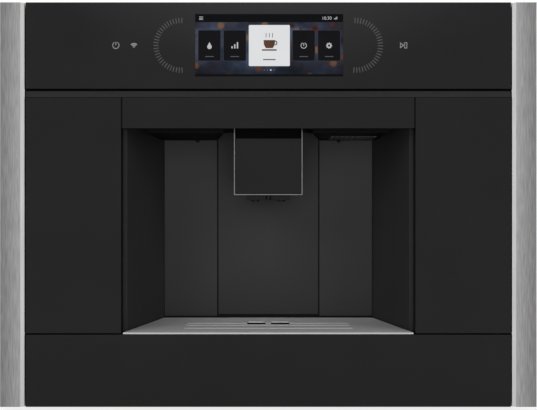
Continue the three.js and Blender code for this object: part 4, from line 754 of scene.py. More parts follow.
TILES_X = (-66.3, -38.2, 38.4, 66.6)
TILE_Z = -0.2
TILE_WIDTH = 25.6
TILE_HEIGHT = 34.6
FRAME_LINE = 0.9  # what a tile's face is smaller than its frame
STRIP = 8.8  # height of the status strip
FOOT = 2.6


def drop(size, x, z):
    """A water drop: a round belly and a pointed top."""
    return [(x, z + 2.1 * size)] + shifted(ring_points(size, 50, 310, 18), x, z)


def cup(size, x, z):
    """A plain cup from the side: bowl, handle and saucer."""
    bowl = [(-1.0, 0.7), (1.0, 0.7), (0.95, -0.1), (0.6, -0.7), (-0.6, -0.7), (-0.95, -0.1)]
    handle = shifted(arc_band(0.24, 0.42, 0, 180, 10), 0.98, 0.2)
    saucer = rounded(2.6, 0.24, 0.12, 0, -1.02)
    return [[(x + size * px, z + size * pz) for px, pz in part] for part in (bowl, handle, saucer)]


def cog(size, x, z, teeth=8):
    """A small wheel with teeth, as an outline round a hub."""
    points = []
    for index in range(teeth * 4):
        angle = 2 * math.pi * index / (teeth * 4)
        radius = size if index % 4 in (0, 1) else size * 0.76
        points.append((x + radius * math.sin(angle), z + radius * math.cos(angle)))
    return points


def rising(width, x, foot_z, bars):
    """Bars of growing height on one foot line."""
    return [bar(width, height, x + dx, foot_z + height / 2) for dx, height in bars]


DRAWN = (  # name, outlines, layer, finish
    ("status_strip", [bar(2 * WINDOW_HALF_WIDTH, STRIP, 0, WINDOW_HALF_HEIGHT - STRIP / 2)],
     1, strip_dark),
    ("foot_strip", [bar(2 * WINDOW_HALF_WIDTH, FOOT, 0, FOOT / 2 - WINDOW_HALF_HEIGHT)],
     1, strip_dark),
    ("tile_edges", [rounded(TILE_WIDTH, TILE_HEIGHT, 1.6, x, TILE_Z) for x in TILES_X],
     1, tile_edge),
    ("tile_faces", [
        rounded(TILE_WIDTH - FRAME_LINE, TILE_HEIGHT - FRAME_LINE, 1.3, x, TILE_Z) for x in TILES_X
    ], 2, tile_dark),
    ("chosen_tile", [rounded(45.6, 45.6, 1.2, 0.2, TILE_Z)], 3, tile_light),
    ("cup_sign", cup(6.4, 0.2, 1.4), 4, sign_warm),
    ("steam_lines", [rounded(0.7, 5, 0.3, 0.2 + dx, 11.2) for dx in (-3.6, 0, 3.6)], 4, sign_grey),
    ("choice_bar", [rounded(14, 1.2, 0.5, 0.2, -15.8)], 4, sign_grey),
    ("water_sign", [drop(2.5, TILES_X[0], -1.6)], 3, sign_pale),
    ("grind_sign", rising(1.5, TILES_X[1], -3.4, ((-3, 2.4), (0, 4.6), (3, 7))), 3, sign_pale),
    ("steam_sign", [
        shifted(arc_band(2.7, 3.4, 20, 340, 24), TILES_X[2], TILE_Z),
        bar(0.7, 3.2, TILES_X[2], 0.9),
    ], 3, sign_pale),
    ("settings_sign", [cog(3.4, TILES_X[3], TILE_Z)], 3, sign_pale),
    ("settings_hub", [shifted(disc(1.3, 16), TILES_X[3], TILE_Z)], 4, tile_dark),
    ("tile_notes", [rounded(9.5, 0.8, 0.3, x, -12.4) for x in TILES_X], 3, sign_grey),
    ("menu_lines", [bar(4.2, 0.55, -75.6, 30.2 + dz) for dz in (-1.4, 0, 1.4)], 2, sign_pale),
    ("signal_bars", rising(0.8, 72.6, 28.9, ((0, 1.1), (1.3, 2), (2.6, 2.9))), 2, sign_pale),
    ("page_dots", [shifted(disc(0.75, 14), x, -27.4) for x in (-5.4, -1.8, 5.4)], 2, sign_grey),
    ("page_dot_now", [shifted(disc(0.95, 14), 1.8, -27.4)], 2, sign_pale),
)
for drawing in DRAWN:
    on_screen(*drawing)
print("drawn on the screen", len(DRAWN))

# %% [markdown]
# The only characters on the display are the digits of a clock. Blender's text is a curve that lies
# on its back, so it is made a mesh first, and then each of its points is stood up in its place.

# %% Clock
CLOCK_RIGHT = 69.5  # the last digit ends this far right of the window's middle
CLOCK_FOOT = 28.6
writing = bpy.data.curves.new("clock_text", "FONT")
writing.body = "10:30"
writing.size = 5.0 * MM
writing.align_x = "RIGHT"
writing.extrude = LAYER * 0.4 * MM
written = added("clock_text", writing)
bpy.context.view_layer.update()
seen = written.evaluated_get(bpy.context.evaluated_depsgraph_get())
clock_mesh = bpy.data.meshes.new_from_object(seen)
bpy.data.objects.remove(written)
for vertex in clock_mesh.vertices:
    x, y, z = vertex.co
    vertex.co = (
        x + (WINDOW_X + CLOCK_RIGHT) * MM,
        (FRONT + SCREEN - 1.7 * LAYER) * MM - z,
        y + (WINDOW_Z + CLOCK_FOOT) * MM,
    )
clock_mesh.name = "clock_digits"
clock_mesh.materials.clear()
settle(added("clock_digits", clock_mesh), "housing", sign_pale)

# %% [markdown]
# ## Half-rings of ticks, with Geometry Nodes
# On each side of the display a half-ring of 29 short ticks shows where a finger can slide. Equal
# things on a rule are what Geometry Nodes are for: points are numbered, each number becomes an
# angle, and a small bar is set on every point, turned to face the middle. The tree has named
# inputs, so the two rings differ only in numbers. It ends in Realize Instances, since an exported
# file drops instances, and in Set Material.

# %% Helpers for Geometry Nodes
def new_tree(name, inputs):
    """A node tree with named inputs and one geometry output."""
    tree = bpy.data.node_groups.new(name, "GeometryNodeTree")
    for label, kind in (("Geometry", "Geometry"), *inputs):
        tree.interface.new_socket(label, in_out="INPUT", socket_type="NodeSocket" + kind)
    tree.interface.new_socket("Geometry", in_out="OUTPUT", socket_type="NodeSocketGeometry")
    return tree, node(tree, "NodeGroupInput").outputs


def end_tree(tree, geometry, skin):
    """Ends a tree: the geometry is made real and gets its finish."""
    real = node(tree, "GeometryNodeRealizeInstances", {0: geometry})
    skinned = node(tree, "GeometryNodeSetMaterial", {"Geometry": real, "Material": skin})
    node(tree, "NodeGroupOutput", {"Geometry": skinned})


def grown(name, tree, values, seed=None):
    """Runs a tree on an object and keeps the result as a plain mesh at the origin."""
    start = added(name + "_seed", seed or bpy.data.meshes.new(name + "_seed"))
    modifier = start.modifiers.new(name, "NODES")
    modifier.node_group = tree
    for item in tree.interface.items_tree:
        if item.in_out == "INPUT" and item.name in values:
            modifier[item.identifier] = values[item.name]
    start.update_tag()
    graph = bpy.context.evaluated_depsgraph_get()
    mesh = bpy.data.meshes.new_from_object(start.evaluated_get(graph))
    bpy.data.objects.remove(start)
    mesh.name = name
    return added(name, mesh)


# %% Half-rings of ticks
rings, given = new_tree("tick_ring", (
    ("Count", "Int"), ("Radius", "Float"), ("Length", "Float"), ("Width", "Float"),
    ("Height", "Float"), ("Start", "Float"), ("Sweep", "Float"), ("Middle", "Vector"),
    ("Ink", "Material"),
))
number = node(rings, "GeometryNodeInputIndex").outputs[0]
last = maths(rings, "SUBTRACT", given["Count"], 1)
turned_by = maths(rings, "MULTIPLY", maths(rings, "DIVIDE", number, last), given["Sweep"])
angle = maths(rings, "ADD", turned_by, given["Start"])
spot = node(rings, "ShaderNodeCombineXYZ", {
    "X": maths(rings, "MULTIPLY", maths(rings, "SINE", angle), given["Radius"]),
    "Z": maths(rings, "MULTIPLY", maths(rings, "COSINE", angle), given["Radius"]),
})
place = node(rings, "ShaderNodeVectorMath", {0: spot, 1: given["Middle"]})
size = node(rings, "ShaderNodeCombineXYZ", {
    "X": given["Width"], "Y": given["Height"], "Z": given["Length"],
})
facing = node(rings, "ShaderNodeCombineXYZ", {"Y": angle})
ticks = node(rings, "GeometryNodeInstanceOnPoints", {
    "Points": node(rings, "GeometryNodePoints", {"Count": given["Count"], "Position": place}),
    "Instance": node(rings, "GeometryNodeMeshCube", {"Size": size}),
    "Rotation": node(rings, "FunctionNodeEulerToRotation", {0: facing}),
})
end_tree(rings, ticks, given["Ink"])

tick_ink = ink_finish("tick_ink", (0.066, 0.094), 0.6)
TICK_COUNT = 29
TICK_LENGTH, TICK_WIDTH = 5.8, 0.72
RING_X, RING_RADIUS = 97.1, 27.6
RING_SWEEP = 185.5
for ring_name, side, first_angle in (("ticks_left", -1, -2.5), ("ticks_right", 1, -1.5)):
    ring = grown(ring_name, rings, {
        "Count": TICK_COUNT, "Radius": RING_RADIUS * MM, "Length": TICK_LENGTH * MM,
        "Width": TICK_WIDTH * MM, "Height": PRINT * MM, "Ink": tick_ink,
        "Start": side * math.radians(first_angle), "Sweep": side * math.radians(RING_SWEEP),
        "Middle": Vector((side * RING_X, FRONT + PRINT / 2, MARK_Z)) * MM,
    })
    settle(ring, "housing", tick_ink)

# %% [markdown]
# ## Finishes of mouldings
# Moulded plastic has an eroded grain from its tool: a fine, even relief, and a sheen that wanders a
# little. One helper sets that grain for all of them. The niche's liner carries painted light: its
# side walls are painted lighter towards the back and its back panels towards the top, against the
# shade that falls deep in the niche and under its ceiling, and its back panels are painted lighter
# than its side walls.

# %% Finishes of the mouldings
TOOL_GRAIN = 0.5
NICHE_DEPTH = (FRONT, box_mm("niche_back_centre")[0].y)
NICHE_HEIGHT = (box_mm("drip_plate")[1].z, box_mm("niche_ceiling")[0].z)


def moulding(name, colours, cell, rough, gloss=0.5, depth_mm=0.02, strength=0.3, drift=None):
    """Moulded plastic with the grain of its tool."""
    return finish(
        name, colours, cell, rough, TOOL_GRAIN, depth_mm, strength, drift, Specular_IOR_Level=gloss
    )


# Painted light: the side walls' colour grows lighter towards the niche's back.
liner_wall = moulding(
    "liner_wall", (0.0185, 0.024, 0.036), (50, 50, 70), (0.48, 0.6), 0.15,
    drift=("Y", NICHE_DEPTH, 0.1),
)
# Painted light: the back panels are painted lighter than the side walls, and lighter towards the top.
liner_back, liner_centre = (
    moulding(name, colours, 60, (0.5, 0.62), 0.2, drift=("Z", NICHE_HEIGHT, 0.1))
    for name, colours in (
        ("liner_back", (0.031, 0.036, 0.058)), ("liner_centre", (0.026, 0.033, 0.047)),
    )
)
pod_black = moulding("pod_black", (0.0020, 0.0030), 30, (0.5, 0.6), 0.08)
shaft_black = moulding("shaft_black", (0.0012, 0.0020), 20, (0.6, 0.7), 0.03)
door_black = moulding("door_black", (0.0050, 0.0070), 16, (0.45, 0.58), 0.12, 0.03, 0.35)
nozzle_black = moulding("nozzle_black", (0.0115, 0.0155), 10, (0.42, 0.55), 0.2, 0.03, 0.35)
moulded_black = moulding("moulded_black", (0.013, 0.018), 16, (0.42, 0.55), 0.3, 0.03, 0.35)
moulded_grey = moulding("moulded_grey", (0.040, 0.054), 22, (0.42, 0.56), 0.35, 0.03, 0.4)
grille_grey = moulding("grille_grey", (0.055, 0.08), 20, (0.4, 0.5), 0.3)
pump_moulding = moulding("pump_moulding", (0.050, 0.068), 9, (0.38, 0.5), 0.5, 0.05, 0.4)
red_moulding = moulding(
    "red_moulding", ((0.34, 0.022, 0.016), (0.43, 0.032, 0.022)), 12, (0.28, 0.4), strength=0.2
)
natural_acetal = finish(
    "natural_acetal", ((0.46, 0.45, 0.40), (0.53, 0.52, 0.47)), 10, (0.4, 0.5), 0.8, strength=0.2
)
lamp_lens = finish("lamp_lens", (0.006, 0.012), 2, (0.15, 0.25), 0.4)
hose_white = finish(
    "hose_white", ((0.60, 0.60, 0.56), (0.70, 0.70, 0.66)), 6, (0.22, 0.34), 0.6, 0.01, 0.2
)
print("finishes so far", len([m for m in bpy.data.materials if m.use_nodes]))

# %% [markdown]
# ## Finishes of metal, boards and clear parts
# - Galvanised sheet shows spangles, crystals of zinc a centimetre wide. A Voronoi texture has the
#   same structure: every cell takes its own tone, and a noise breaks up the cells' straight edges.
# - Clear mouldings transmit light, cast parts are rough, and machined steel shows turning lines.

# %% Finishes of metal, boards and clear parts
machined_steel = finish(
    "machined_steel", (0.38, 0.47), (4, 4, 1), (0.26, 0.38), (0.5, 0.5, 0.15), 0.01, 0.25,
    Metallic=1.0,
)
# The drift along Y is painted light: the plate is painted lighter towards its rear, deep in the
# niche, where less light reaches it.
plate_brushed = finish(
    "plate_brushed", (0.42, 0.47, 0.72), (34, 1.1, 1.1), (0.42, 0.55), (20, 0.4, 0.4),
    drift=("Y", NICHE_DEPTH, 0.16), Metallic=0.15,
)
thin_trim = finish("thin_trim", (0.14, 0.175), 8, (0.25, 0.35), 0.5, 0.01, 0.15, Metallic=0.6)
cast_metal = finish("cast_metal", (0.40, 0.50), 5, (0.42, 0.6), 0.9, 0.12, 0.6, Metallic=1.0)
core_iron = finish("core_iron", (0.13, 0.20), (3, 14, 14), (0.38, 0.52), 0.6, Metallic=1.0)
powder_black = finish(
    "powder_black", (0.0045, 0.0065), 18, (0.5, 0.62), 0.7, 0.04, 0.4, Specular_IOR_Level=0.12
)
winding_tape = finish(
    "winding_tape", ((0.40, 0.23, 0.035), (0.50, 0.31, 0.055)), 9, (0.35, 0.5), (1.2, 6, 1.2),
    0.04, 0.4,
)
board_green = finish(
    "board_green", ((0.010, 0.055, 0.028), (0.018, 0.085, 0.045)), (1.4, 1.4, 7), (0.3, 0.42),
    (0.7, 0.7, 2.4), 0.05, 0.5,
)
clear_smoke = finish(
    "clear_smoke", ((0.62, 0.66, 0.70), (0.70, 0.74, 0.78)), 40, (0.08, 0.16), 12, strength=0.15,
    Transmission_Weight=0.82, IOR=1.35,
)
zinc, tree, shader = new_finish("galvanised_sheet")
chances, distance = voronoi(tree, 11)
spangles = maths(tree, "MULTIPLY_ADD", chances[0], 0.34, grain(tree, 4))
fill(tree, shader, {
    "Base Color": tones(
        tree, spangles, (0.33, 0.34, 0.345), (0.41, 0.42, 0.425), spread=(0.4, 0.95)
    ),
    "Roughness": ranged(tree, chances[1], NOISE_SPAN, (0.34, 0.46)),
    "Normal": relief(tree, 2.2, 0.03, 0.2, 3.0),
    "Metallic": 0.9,
})

# %% [markdown]
# ## Everything that only needs a finish and soft edges
# Most solids already have their final form. Each gets the finish of its material slot and an edge
# radius that suits its process: a quarter of a millimetre on sheet, half a millimetre on mouldings,
# a whole one on castings. Pieces that need more are taken out of the list and built by hand.

# %% Plain pieces by material slot
SLOT_FINISH = {
    "black_glass": (black_glass, 0.35), "black_plastic": (moulded_black, 0.5),
    "grey_plastic": (moulded_grey, 0.6), "zinc_sheet": (zinc, 0.25),
    "hinge_steel": (machined_steel, 0.3), "clear_plastic": (clear_smoke, 0.6),
    "board": (board_green, 0.15), "cast_aluminium": (cast_metal, 1.0),
    "pump_body": (pump_moulding, 0.5), "red_plastic": (red_moulding, 0.4),
    "drive_plastic": (natural_acetal, 0.3), "lamp": (lamp_lens, 0.3),
    "display": (moulded_black, 0.15), "painted_black": (powder_black, 0.25),
}
OWN_FINISH = {
    "niche_left_wall": liner_wall, "niche_right_wall": liner_wall, "niche_ceiling": pod_black,
    "niche_back_left": liner_back, "niche_back_right": liner_back,
    "niche_back_centre": liner_centre, "left_ceiling_pod": pod_black,
    "right_ceiling_pod": pod_black, "door_frame": door_black, "control_housing": door_black,
    "dispenser_carriage": shaft_black, "dispenser_guide": shaft_black,
    "coffee_nozzle": nozzle_black,
}
BUILT_BY_HAND = {
    "left_trim", "right_trim", "control_glass", "left_door_panel", "right_door_panel",
    "door_header", "drawer_front", "door_grip_bar", "drip_plate", "pressure_hose", "brew_hose",
    "rear_panel", "dispenser_trim",
}
for node_name in sorted(set(nodes) - BUILT_BY_HAND):
    plain, radius = SLOT_FINISH.get(SLOT_OF[node_name], (moulded_black, 0.4))
    softened(node_name, OWN_FINISH.get(node_name, plain), radius)
print("softened", len(nodes) - len(BUILT_BY_HAND), "solids")

# %% [markdown]
# ## Drip plate
# The plate is one stainless sheet. The press raises three long bands across it, which keep a cup
# off the wet surface, and cuts two slots between and into them. Its front edge is folded down. The
# sheet is laid out as rows in depth and columns in width; a row knows how high it lies inside a
# band. A Solidify modifier then gives the sheet its thickness, and a narrow bevel softens it.

# %% Drip plate
PLATE_SHEET = 1.2
BAND_RISE = 0.7
BAND_SLOPE = 0.7
BAND_SHORT = 35  # the bands end this far from the plate's rear corners
SIDE_PLAY = 2.2  # and those stay this much further from the walls than the solid's
BANDS = ((33, 50), (60, 69), (79, 98))  # depths behind the front plane
SLOT_X = (3.3, 25.0)
SLOT_DEPTH = (70, 98)
EDGE_ROLL = 0.15  # the front edge is rolled down by this
FLANGE_DROP = 0.5  # and its flange ends this far below the solid's

plate_low, plate_high = box_mm("drip_plate")
plate_verts = [v.co / MM for v in nodes["drip_plate"].data.vertices]
plate_rear = max(abs(v.x) for v in plate_verts if v.y > plate_high.y - 0.1) - SIDE_PLAY
plate_depth = plate_high.y - plate_low.y
band_half = plate_rear - BAND_SHORT
rows = [(0, None), (0, -EDGE_ROLL / BAND_RISE), (4, 0), (SLOT_DEPTH[0], 0), (plate_depth, 0)]
for start, stop in BANDS:
    rows += [(start, 0), (start + BAND_SLOPE, 1), (stop - BAND_SLOPE, 1), (stop, 0)]
rows.sort(key=lambda row: row[0])
columns = [band_half + BAND_SLOPE, band_half, SLOT_X[1], SLOT_X[0]]
columns = [-x for x in columns] + columns[::-1]

builder = bmesh.new()
sheet_rows = []
for depth, rise in rows:
    edge = plate_high.x + (plate_rear - plate_high.x) * depth / plate_depth
    line = []
    for x in (-edge, *columns, edge):
        raised = rise is not None and (rise < 0 or abs(x) <= band_half)
        level = plate_high.z - BAND_RISE + (BAND_RISE * rise if raised else 0)
        z = plate_low.z - FLANGE_DROP if rise is None else level
        line.append(builder.verts.new(Vector((x, plate_low.y + depth, z)) * MM))
    sheet_rows.append((depth, line))
for (depth, near), (next_depth, far) in zip(sheet_rows, sheet_rows[1:]):
    in_slot_row = SLOT_DEPTH[0] <= depth and next_depth <= SLOT_DEPTH[1]
    for index in range(len(near) - 1):
        middle = abs((near[index].co.x + near[index + 1].co.x) / 2) / MM
        if not (in_slot_row and SLOT_X[0] < middle < SLOT_X[1]):
            builder.faces.new((near[index], near[index + 1], far[index + 1], far[index]))
flange = next(iter(outwards(builder).faces)).normal
if flange.z < flange.y:
    bmesh.ops.reverse_faces(builder, faces=builder.faces)
drip_plate = new_piece("drip_plate_pressed", builder)
wall = drip_plate.modifiers.new("sheet", "SOLIDIFY")
wall.thickness = PLATE_SHEET * MM
wall.offset = -1
wall.use_even_offset = True
round_edges(drip_plate, 0.25, 30)
settle(drip_plate, "drawer", plate_brushed, ["drip_plate"])

# %% [markdown]
# ## Hoses, with Geometry Nodes
# A hose follows its route: straight pieces with a bend at each corner. The route is a mesh of a few
# points joined by edges. The tree turns it into a curve, fillets its corners to the bend radius and
# sweeps a circle along it. The same tree draws the pressed beads of the housing sheets.

# %% Swept tubes
sweeping, given = new_tree("swept_tube", (
    ("Radius", "Float"), ("Bend", "Float"), ("Bend Steps", "Int"), ("Round Steps", "Int"),
    ("Skin", "Material"),
))
route = node(sweeping, "GeometryNodeMeshToCurve", {"Mesh": given["Geometry"]})
bent = node(sweeping, "GeometryNodeFilletCurve", {
    "Curve": route, "Radius": given["Bend"], "Count": given["Bend Steps"],
}, mode="POLY")
section = node(sweeping, "GeometryNodeCurvePrimitiveCircle", {
    "Radius": given["Radius"], "Resolution": given["Round Steps"],
})
swept = node(sweeping, "GeometryNodeCurveToMesh", {
    "Curve": bent, "Profile Curve": section, "Fill Caps": True,
})
end_tree(sweeping, swept, given["Skin"])


def mesh_of(name, points, edges=()):
    """Points in millimetres and the edges between them."""
    mesh = bpy.data.meshes.new(name)
    mesh.from_pydata([Vector(p) * MM for p in points], edges, [])
    return mesh


def tube(name, points, radius, bend, skin, closed=False, round_steps=16):
    """A tube along a route, its corners bent."""
    edges = [(i, i + 1) for i in range(len(points) - 1)]
    if closed:
        edges.append((len(points) - 1, 0))
    piece = grown(name, sweeping, {
        "Radius": radius * MM, "Bend": bend * MM, "Bend Steps": 8, "Round Steps": round_steps,
        "Skin": skin,
    }, mesh_of(name + "_route", points, edges))
    smooth_over(piece, 50)
    return piece


HOSE_RADIUS = 4
HOSE_BEND = 14
HOSE_Y = 56.5
HOSE_TOP = 116.2
for hose_name, points in (
    ("pressure_hose", ((182.7, HOSE_Y, 27.3), (71, HOSE_Y, 27.3), (71, HOSE_Y, HOSE_TOP),
                       (55.3, HOSE_Y, HOSE_TOP))),
    ("brew_hose", ((-60.3, HOSE_Y, HOSE_TOP), (-202, HOSE_Y, HOSE_TOP), (-202, 17.8, HOSE_TOP))),
):
    hose = tube(hose_name + "_run", points, HOSE_RADIUS, HOSE_BEND, hose_white)
    settle(hose, "housing", hose_white, [hose_name])

# %% [markdown]
# ## Rear panel
# The rear sheet carries the air vents and the opening for the mains inlet. It lies 0.6 mm inside
# the housing's depth, because its screws, its pressed beads and the lips of the vents stand proud.
# A dark dust filter lies flat behind the vents.

# %% Rear panel
PROUD = 0.6
VENT_PITCH = 12
VENT_COUNT = 12
VENT_HALF = 2
VENT_Z = (330, 400)
INLET_HOLE = ((-224.1, -175.9), (30.9, 59.1))
FILTER_SHEET = 0.8
FILTER_EDGE = 5
FILTER_GAP = 0.1

rear_low, rear_high = box_mm("rear_panel")
SHEET_FACE = rear_high.y - PROUD
vents = []
for number in range(VENT_COUNT):
    x = (number - (VENT_COUNT - 1) / 2) * VENT_PITCH
    vents.append((both_ways(x, VENT_HALF), VENT_Z))
rear_sheet = pierced_sheet(
    "rear_sheet", (rear_low.x, rear_high.x), (rear_low.z, rear_high.z), [*vents, INLET_HOLE],
    rear_low.y, SHEET_FACE,
)
round_edges(rear_sheet, 0.2)
settle(rear_sheet, "housing", zinc, ["rear_panel"])
dust_filter = pierced_sheet(
    "dust_filter", (vents[0][0][0] - FILTER_EDGE, vents[-1][0][1] + FILTER_EDGE),
    (VENT_Z[0] - FILTER_EDGE, VENT_Z[1] + FILTER_EDGE), [],
    rear_low.y - FILTER_GAP - FILTER_SHEET, rear_low.y - FILTER_GAP,
)
settle(dust_filter, "housing", powder_black)
print("vents", len(vents))

# %% [markdown]
# A folded angle in each rear corner joins the rear sheet to a side sheet and closes the seam
# between them. It stands on the deck and ends just under the top sheet.

# %% Corner angles
ANGLE_WIDTH = 12
ANGLE_SHEET = 0.8
SEATED = 0.1  # the angles lie this far inside the sheets that they join
side_low, side_high = box_mm("right_side_panel")
deck_top = box_mm("thermoblock")[0].z
rear_inner = rear_low.y - SEATED
for side, angle_name in ((-1, "left_corner_angle"), (1, "right_corner_angle")):
    x, tip, fold = (side * (side_low.x - SEATED - back) for back in (0, ANGLE_WIDTH, ANGLE_SHEET))
    angle = new_piece(angle_name, stood_up([
        (x, rear_inner - ANGLE_WIDTH), (x, rear_inner), (tip, rear_inner),
        (tip, rear_inner - ANGLE_SHEET), (fold, rear_inner - ANGLE_SHEET),
        (fold, rear_inner - ANGLE_WIDTH),
    ], deck_top, rear_high.z - 1))
    settle(angle, "housing", zinc)

# %% [markdown]
# Large sheets drum and warp, so the press gives them beads: ridges that run round in a rectangle.
# Each is a closed tube sunk to half its thickness in the sheet, and so is the lip round each vent.

# %% Pressed beads
BEAD_BEND, LIP_BEND = 16, 1.6
BEAD_RADIUS = 0.8  # on the side and top sheets; the rear ones are flatter
LIP_GAP = 0.5
top_face = box_mm("top_panel")[1].z


def round_of(across, up):
    """The corners of a rectangle, in the order in which a route goes round it."""
    return (across[0], up[0]), (across[1], up[0]), (across[1], up[1]), (across[0], up[1])


def bead(name, corners, radius=PROUD, bend=BEAD_BEND):
    ridge = tube(name, corners, radius, bend, zinc, closed=True, round_steps=10)
    settle(ridge, "housing", zinc)


rear_beads = [
    ("rear_bead_upper", ((-240, 240), (295, 420)), BEAD_BEND),
    ("rear_bead_lower", ((-150, 240), (45, 265)), BEAD_BEND),
]
for number, vent in enumerate(vents):
    lip = [(low - LIP_GAP, high + LIP_GAP) for low, high in vent]
    rear_beads.append(("vent_lip_%02d" % number, lip, LIP_BEND))
for name, limits, bend in rear_beads:
    bead(name, [(x, SHEET_FACE, z) for x, z in round_of(*limits)], bend=bend)
for side, sheet_name in ((-1, "left"), (1, "right")):
    for level, z_limits in enumerate(((60, 200), (240, 400))):
        corners = [(side * side_high.x, y, z) for y, z in round_of((-130, 150), z_limits)]
        bead("%s_bead_%d" % (sheet_name, level), corners, BEAD_RADIUS)
bead("top_bead", [(x, y, top_face) for x, y in round_of((-230, 230), (-130, 140))], BEAD_RADIUS)

# %% [markdown]
# ## Screws, with Geometry Nodes
# A screw's head is a low dome with a star recess. It is built as a lathe would turn it, ring by
# ring: all rings have the same number of points, so that one bridges to the next, and the recess is
# a ring whose radius waves six times. The cans on the boards are turned in the same way.

# %% Turned parts
STAR_POINTS = 6


def turned(name, profile, radius, height, steps):
    """A round part, axis along Z, from shares of its radius and height and how far a ring waves."""
    builder = bmesh.new()
    rings = []
    for share_out, share_up, wave in profile:
        ring = []
        for step in range(steps):
            angle = 2 * math.pi * step / steps
            out = (share_out + wave * math.cos(STAR_POINTS * angle)) * radius
            point = Vector((out * math.cos(angle), out * math.sin(angle), share_up * height))
            ring.append(builder.verts.new(point * MM))
        rings.append(ring)
    for lower, upper in zip(rings, rings[1:]):
        for i in range(steps):
            j = (i + 1) % steps
            builder.faces.new((lower[i], lower[j], upper[j], upper[i]))
    builder.faces.new(rings[0][::-1])
    builder.faces.new(rings[-1])
    return new_piece(name, outwards(builder))


# %% [markdown]
# One model is then enough. The tree sets a copy on every point of a list, turns it to face out of
# its sheet, and spins each one by a random angle with a fixed seed, since no two screws ever stop
# at the same angle. What has to stand in line gets a spin of nought.

# %% Copies on points
copying, given = new_tree("copies_on_points", (
    ("Copy", "Object"), ("Facing", "Vector"), ("Spin", "Float"), ("Seed", "Int"),
    ("Skin", "Material"),
))
out_of_sheet = node(copying, "FunctionNodeEulerToRotation", {0: given["Facing"]})
model = node(copying, "GeometryNodeObjectInfo", {"Object": given["Copy"]})
set_copies = node(copying, "GeometryNodeInstanceOnPoints", {
    "Points": given["Geometry"], "Instance": model.outputs["Geometry"], "Rotation": out_of_sheet,
})
FLOAT_FROM, FLOAT_TO, FLOAT_OUT = 2, 3, 1  # this node's sockets for plain numbers
any_angle = node(copying, "FunctionNodeRandomValue", {
    FLOAT_FROM: 0.0, FLOAT_TO: given["Spin"], "Seed": given["Seed"],
}, data_type="FLOAT")
spin = node(copying, "ShaderNodeCombineXYZ", {"Z": any_angle.outputs[FLOAT_OUT]})
spun = node(copying, "GeometryNodeRotateInstances", {
    "Instances": set_copies, "Rotation": node(copying, "FunctionNodeEulerToRotation", {0: spin}),
})
end_tree(copying, spun, given["Skin"])


SPIN_SEED = 3


def copies(name, model, points, facing, skin, spin=0.0):
    """Copies of a model on points in millimetres, as one plain mesh."""
    piece = grown(name, copying, {
        "Copy": model, "Facing": facing, "Spin": spin, "Seed": SPIN_SEED, "Skin": skin,
    }, mesh_of(name + "_points", points))
    smooth_over(piece, 34)
    return settle(piece, "housing", skin)


# %% [markdown]
# The rear sheet gets flush heads no higher than its lips. The side and top sheets have room for
# full pan heads, because the trims in front stand out further than they do.

# %% Screws on the housing
HEAD_PROFILE = (
    (1.0, -0.2, 0), (1.0, 0.35, 0), (0.92, 0.72, 0), (0.72, 0.94, 0), (0.56, 1.0, 0),
    (0.40, 1.0, 0.07), (0.36, 0.25, 0.06),
)
HEAD_STEPS = 24
LOW_HIGH = (16, 436)
BETWEEN = (120, 225, 330)
TO_LEFT, TO_RIGHT, TO_BACK, TO_TOP = (
    (0, -math.pi / 2, 0), (0, math.pi / 2, 0), (-math.pi / 2, 0, 0), (0, 0, 0),
)
flat_head = turned("flat_head", HEAD_PROFILE, 4.0, PROUD, HEAD_STEPS)
pan_head = turned("pan_head", HEAD_PROFILE, 3.8, 1.7, HEAD_STEPS)
side_spots = [(y, z) for y in (-155, -60, 60, 176) for z in LOW_HIGH]
side_spots += [(176, z) for z in BETWEEN]
rear_spots = [(x, z) for x in (-266, -133, 0, 133, 266) for z in LOW_HIGH]
rear_spots += [(x, z) for x in (-266, 266) for z in BETWEEN]
top_spots = [(x, y, top_face) for x in (-262, -130, 0, 130, 262) for y in (-152, 176)]
for set_name, head, spots, facing in (
    ("rear_screws", flat_head, [(x, SHEET_FACE, z) for x, z in rear_spots], TO_BACK),
    ("left_screws", pan_head, [(-side_high.x, y, z) for y, z in side_spots], TO_LEFT),
    ("right_screws", pan_head, [(side_high.x, y, z) for y, z in side_spots], TO_RIGHT),
    ("top_screws", pan_head, top_spots, TO_TOP),
):
    copies(set_name, head, spots, facing, machined_steel, spin=2 * math.pi)
for head in (flat_head, pan_head):
    bpy.data.objects.remove(head)

# %% [markdown]
# ## Boards
# A circuit board is recognised by what stands on it: tall cans and low ones. The same tree sets
# them on points, which come from a seeded random draw on a grid, so that they never overlap and are
# the same in every run. The transformer's corner stays free.

# %% Parts on the boards
CAN_PROFILE = ((1, -0.1, 0), (1, 0.86, 0), (0.94, 0.95, 0), (0.82, 1.0, 0), (0.76, 0.97, 0))
CAN_STEPS = 16
GRID = 9
GRID_Y, GRID_Z = (18, 15.5), (14, 15.2)  # the first place and the pitch
TRANSFORMER_ROOM = 64
TALL_OVER, LOW_OVER = 0.72, 0.3  # of a draw between nought and one
draw = random.Random(11)
power_low, power_high = box_mm("power_board")
BOARD_FACE = power_high.x - 7.6  # the posts and the board's own thickness lie behind it
tall_spots = []
low_spots = []
for row in range(GRID):
    for column in range(GRID):
        y = power_low.y + GRID_Y[0] + column * GRID_Y[1]
        z = power_low.z + GRID_Z[0] + row * GRID_Z[1]
        if y < power_low.y + TRANSFORMER_ROOM and z < power_low.z + TRANSFORMER_ROOM:
            continue
        chance = draw.random()
        if chance > TALL_OVER:
            tall_spots.append((BOARD_FACE, y, z))
        elif chance > LOW_OVER:
            low_spots.append((BOARD_FACE, y, z))
for set_name, radius, height, spots, skin in (
    ("board_cans", 4.2, 12, tall_spots, pump_moulding),
    ("board_chips", 2.4, 4, low_spots, moulded_black),
):
    can = turned(set_name + "_model", CAN_PROFILE, radius, height, CAN_STEPS)
    copies(set_name, can, spots, TO_LEFT, skin)
    bpy.data.objects.remove(can)

# %% [markdown]
# The board's large block is a transformer: a stack of iron sheets with a taped winding through it.
# Every second sheet stands a quarter of a millimetre further out, so that the stack reads as one.

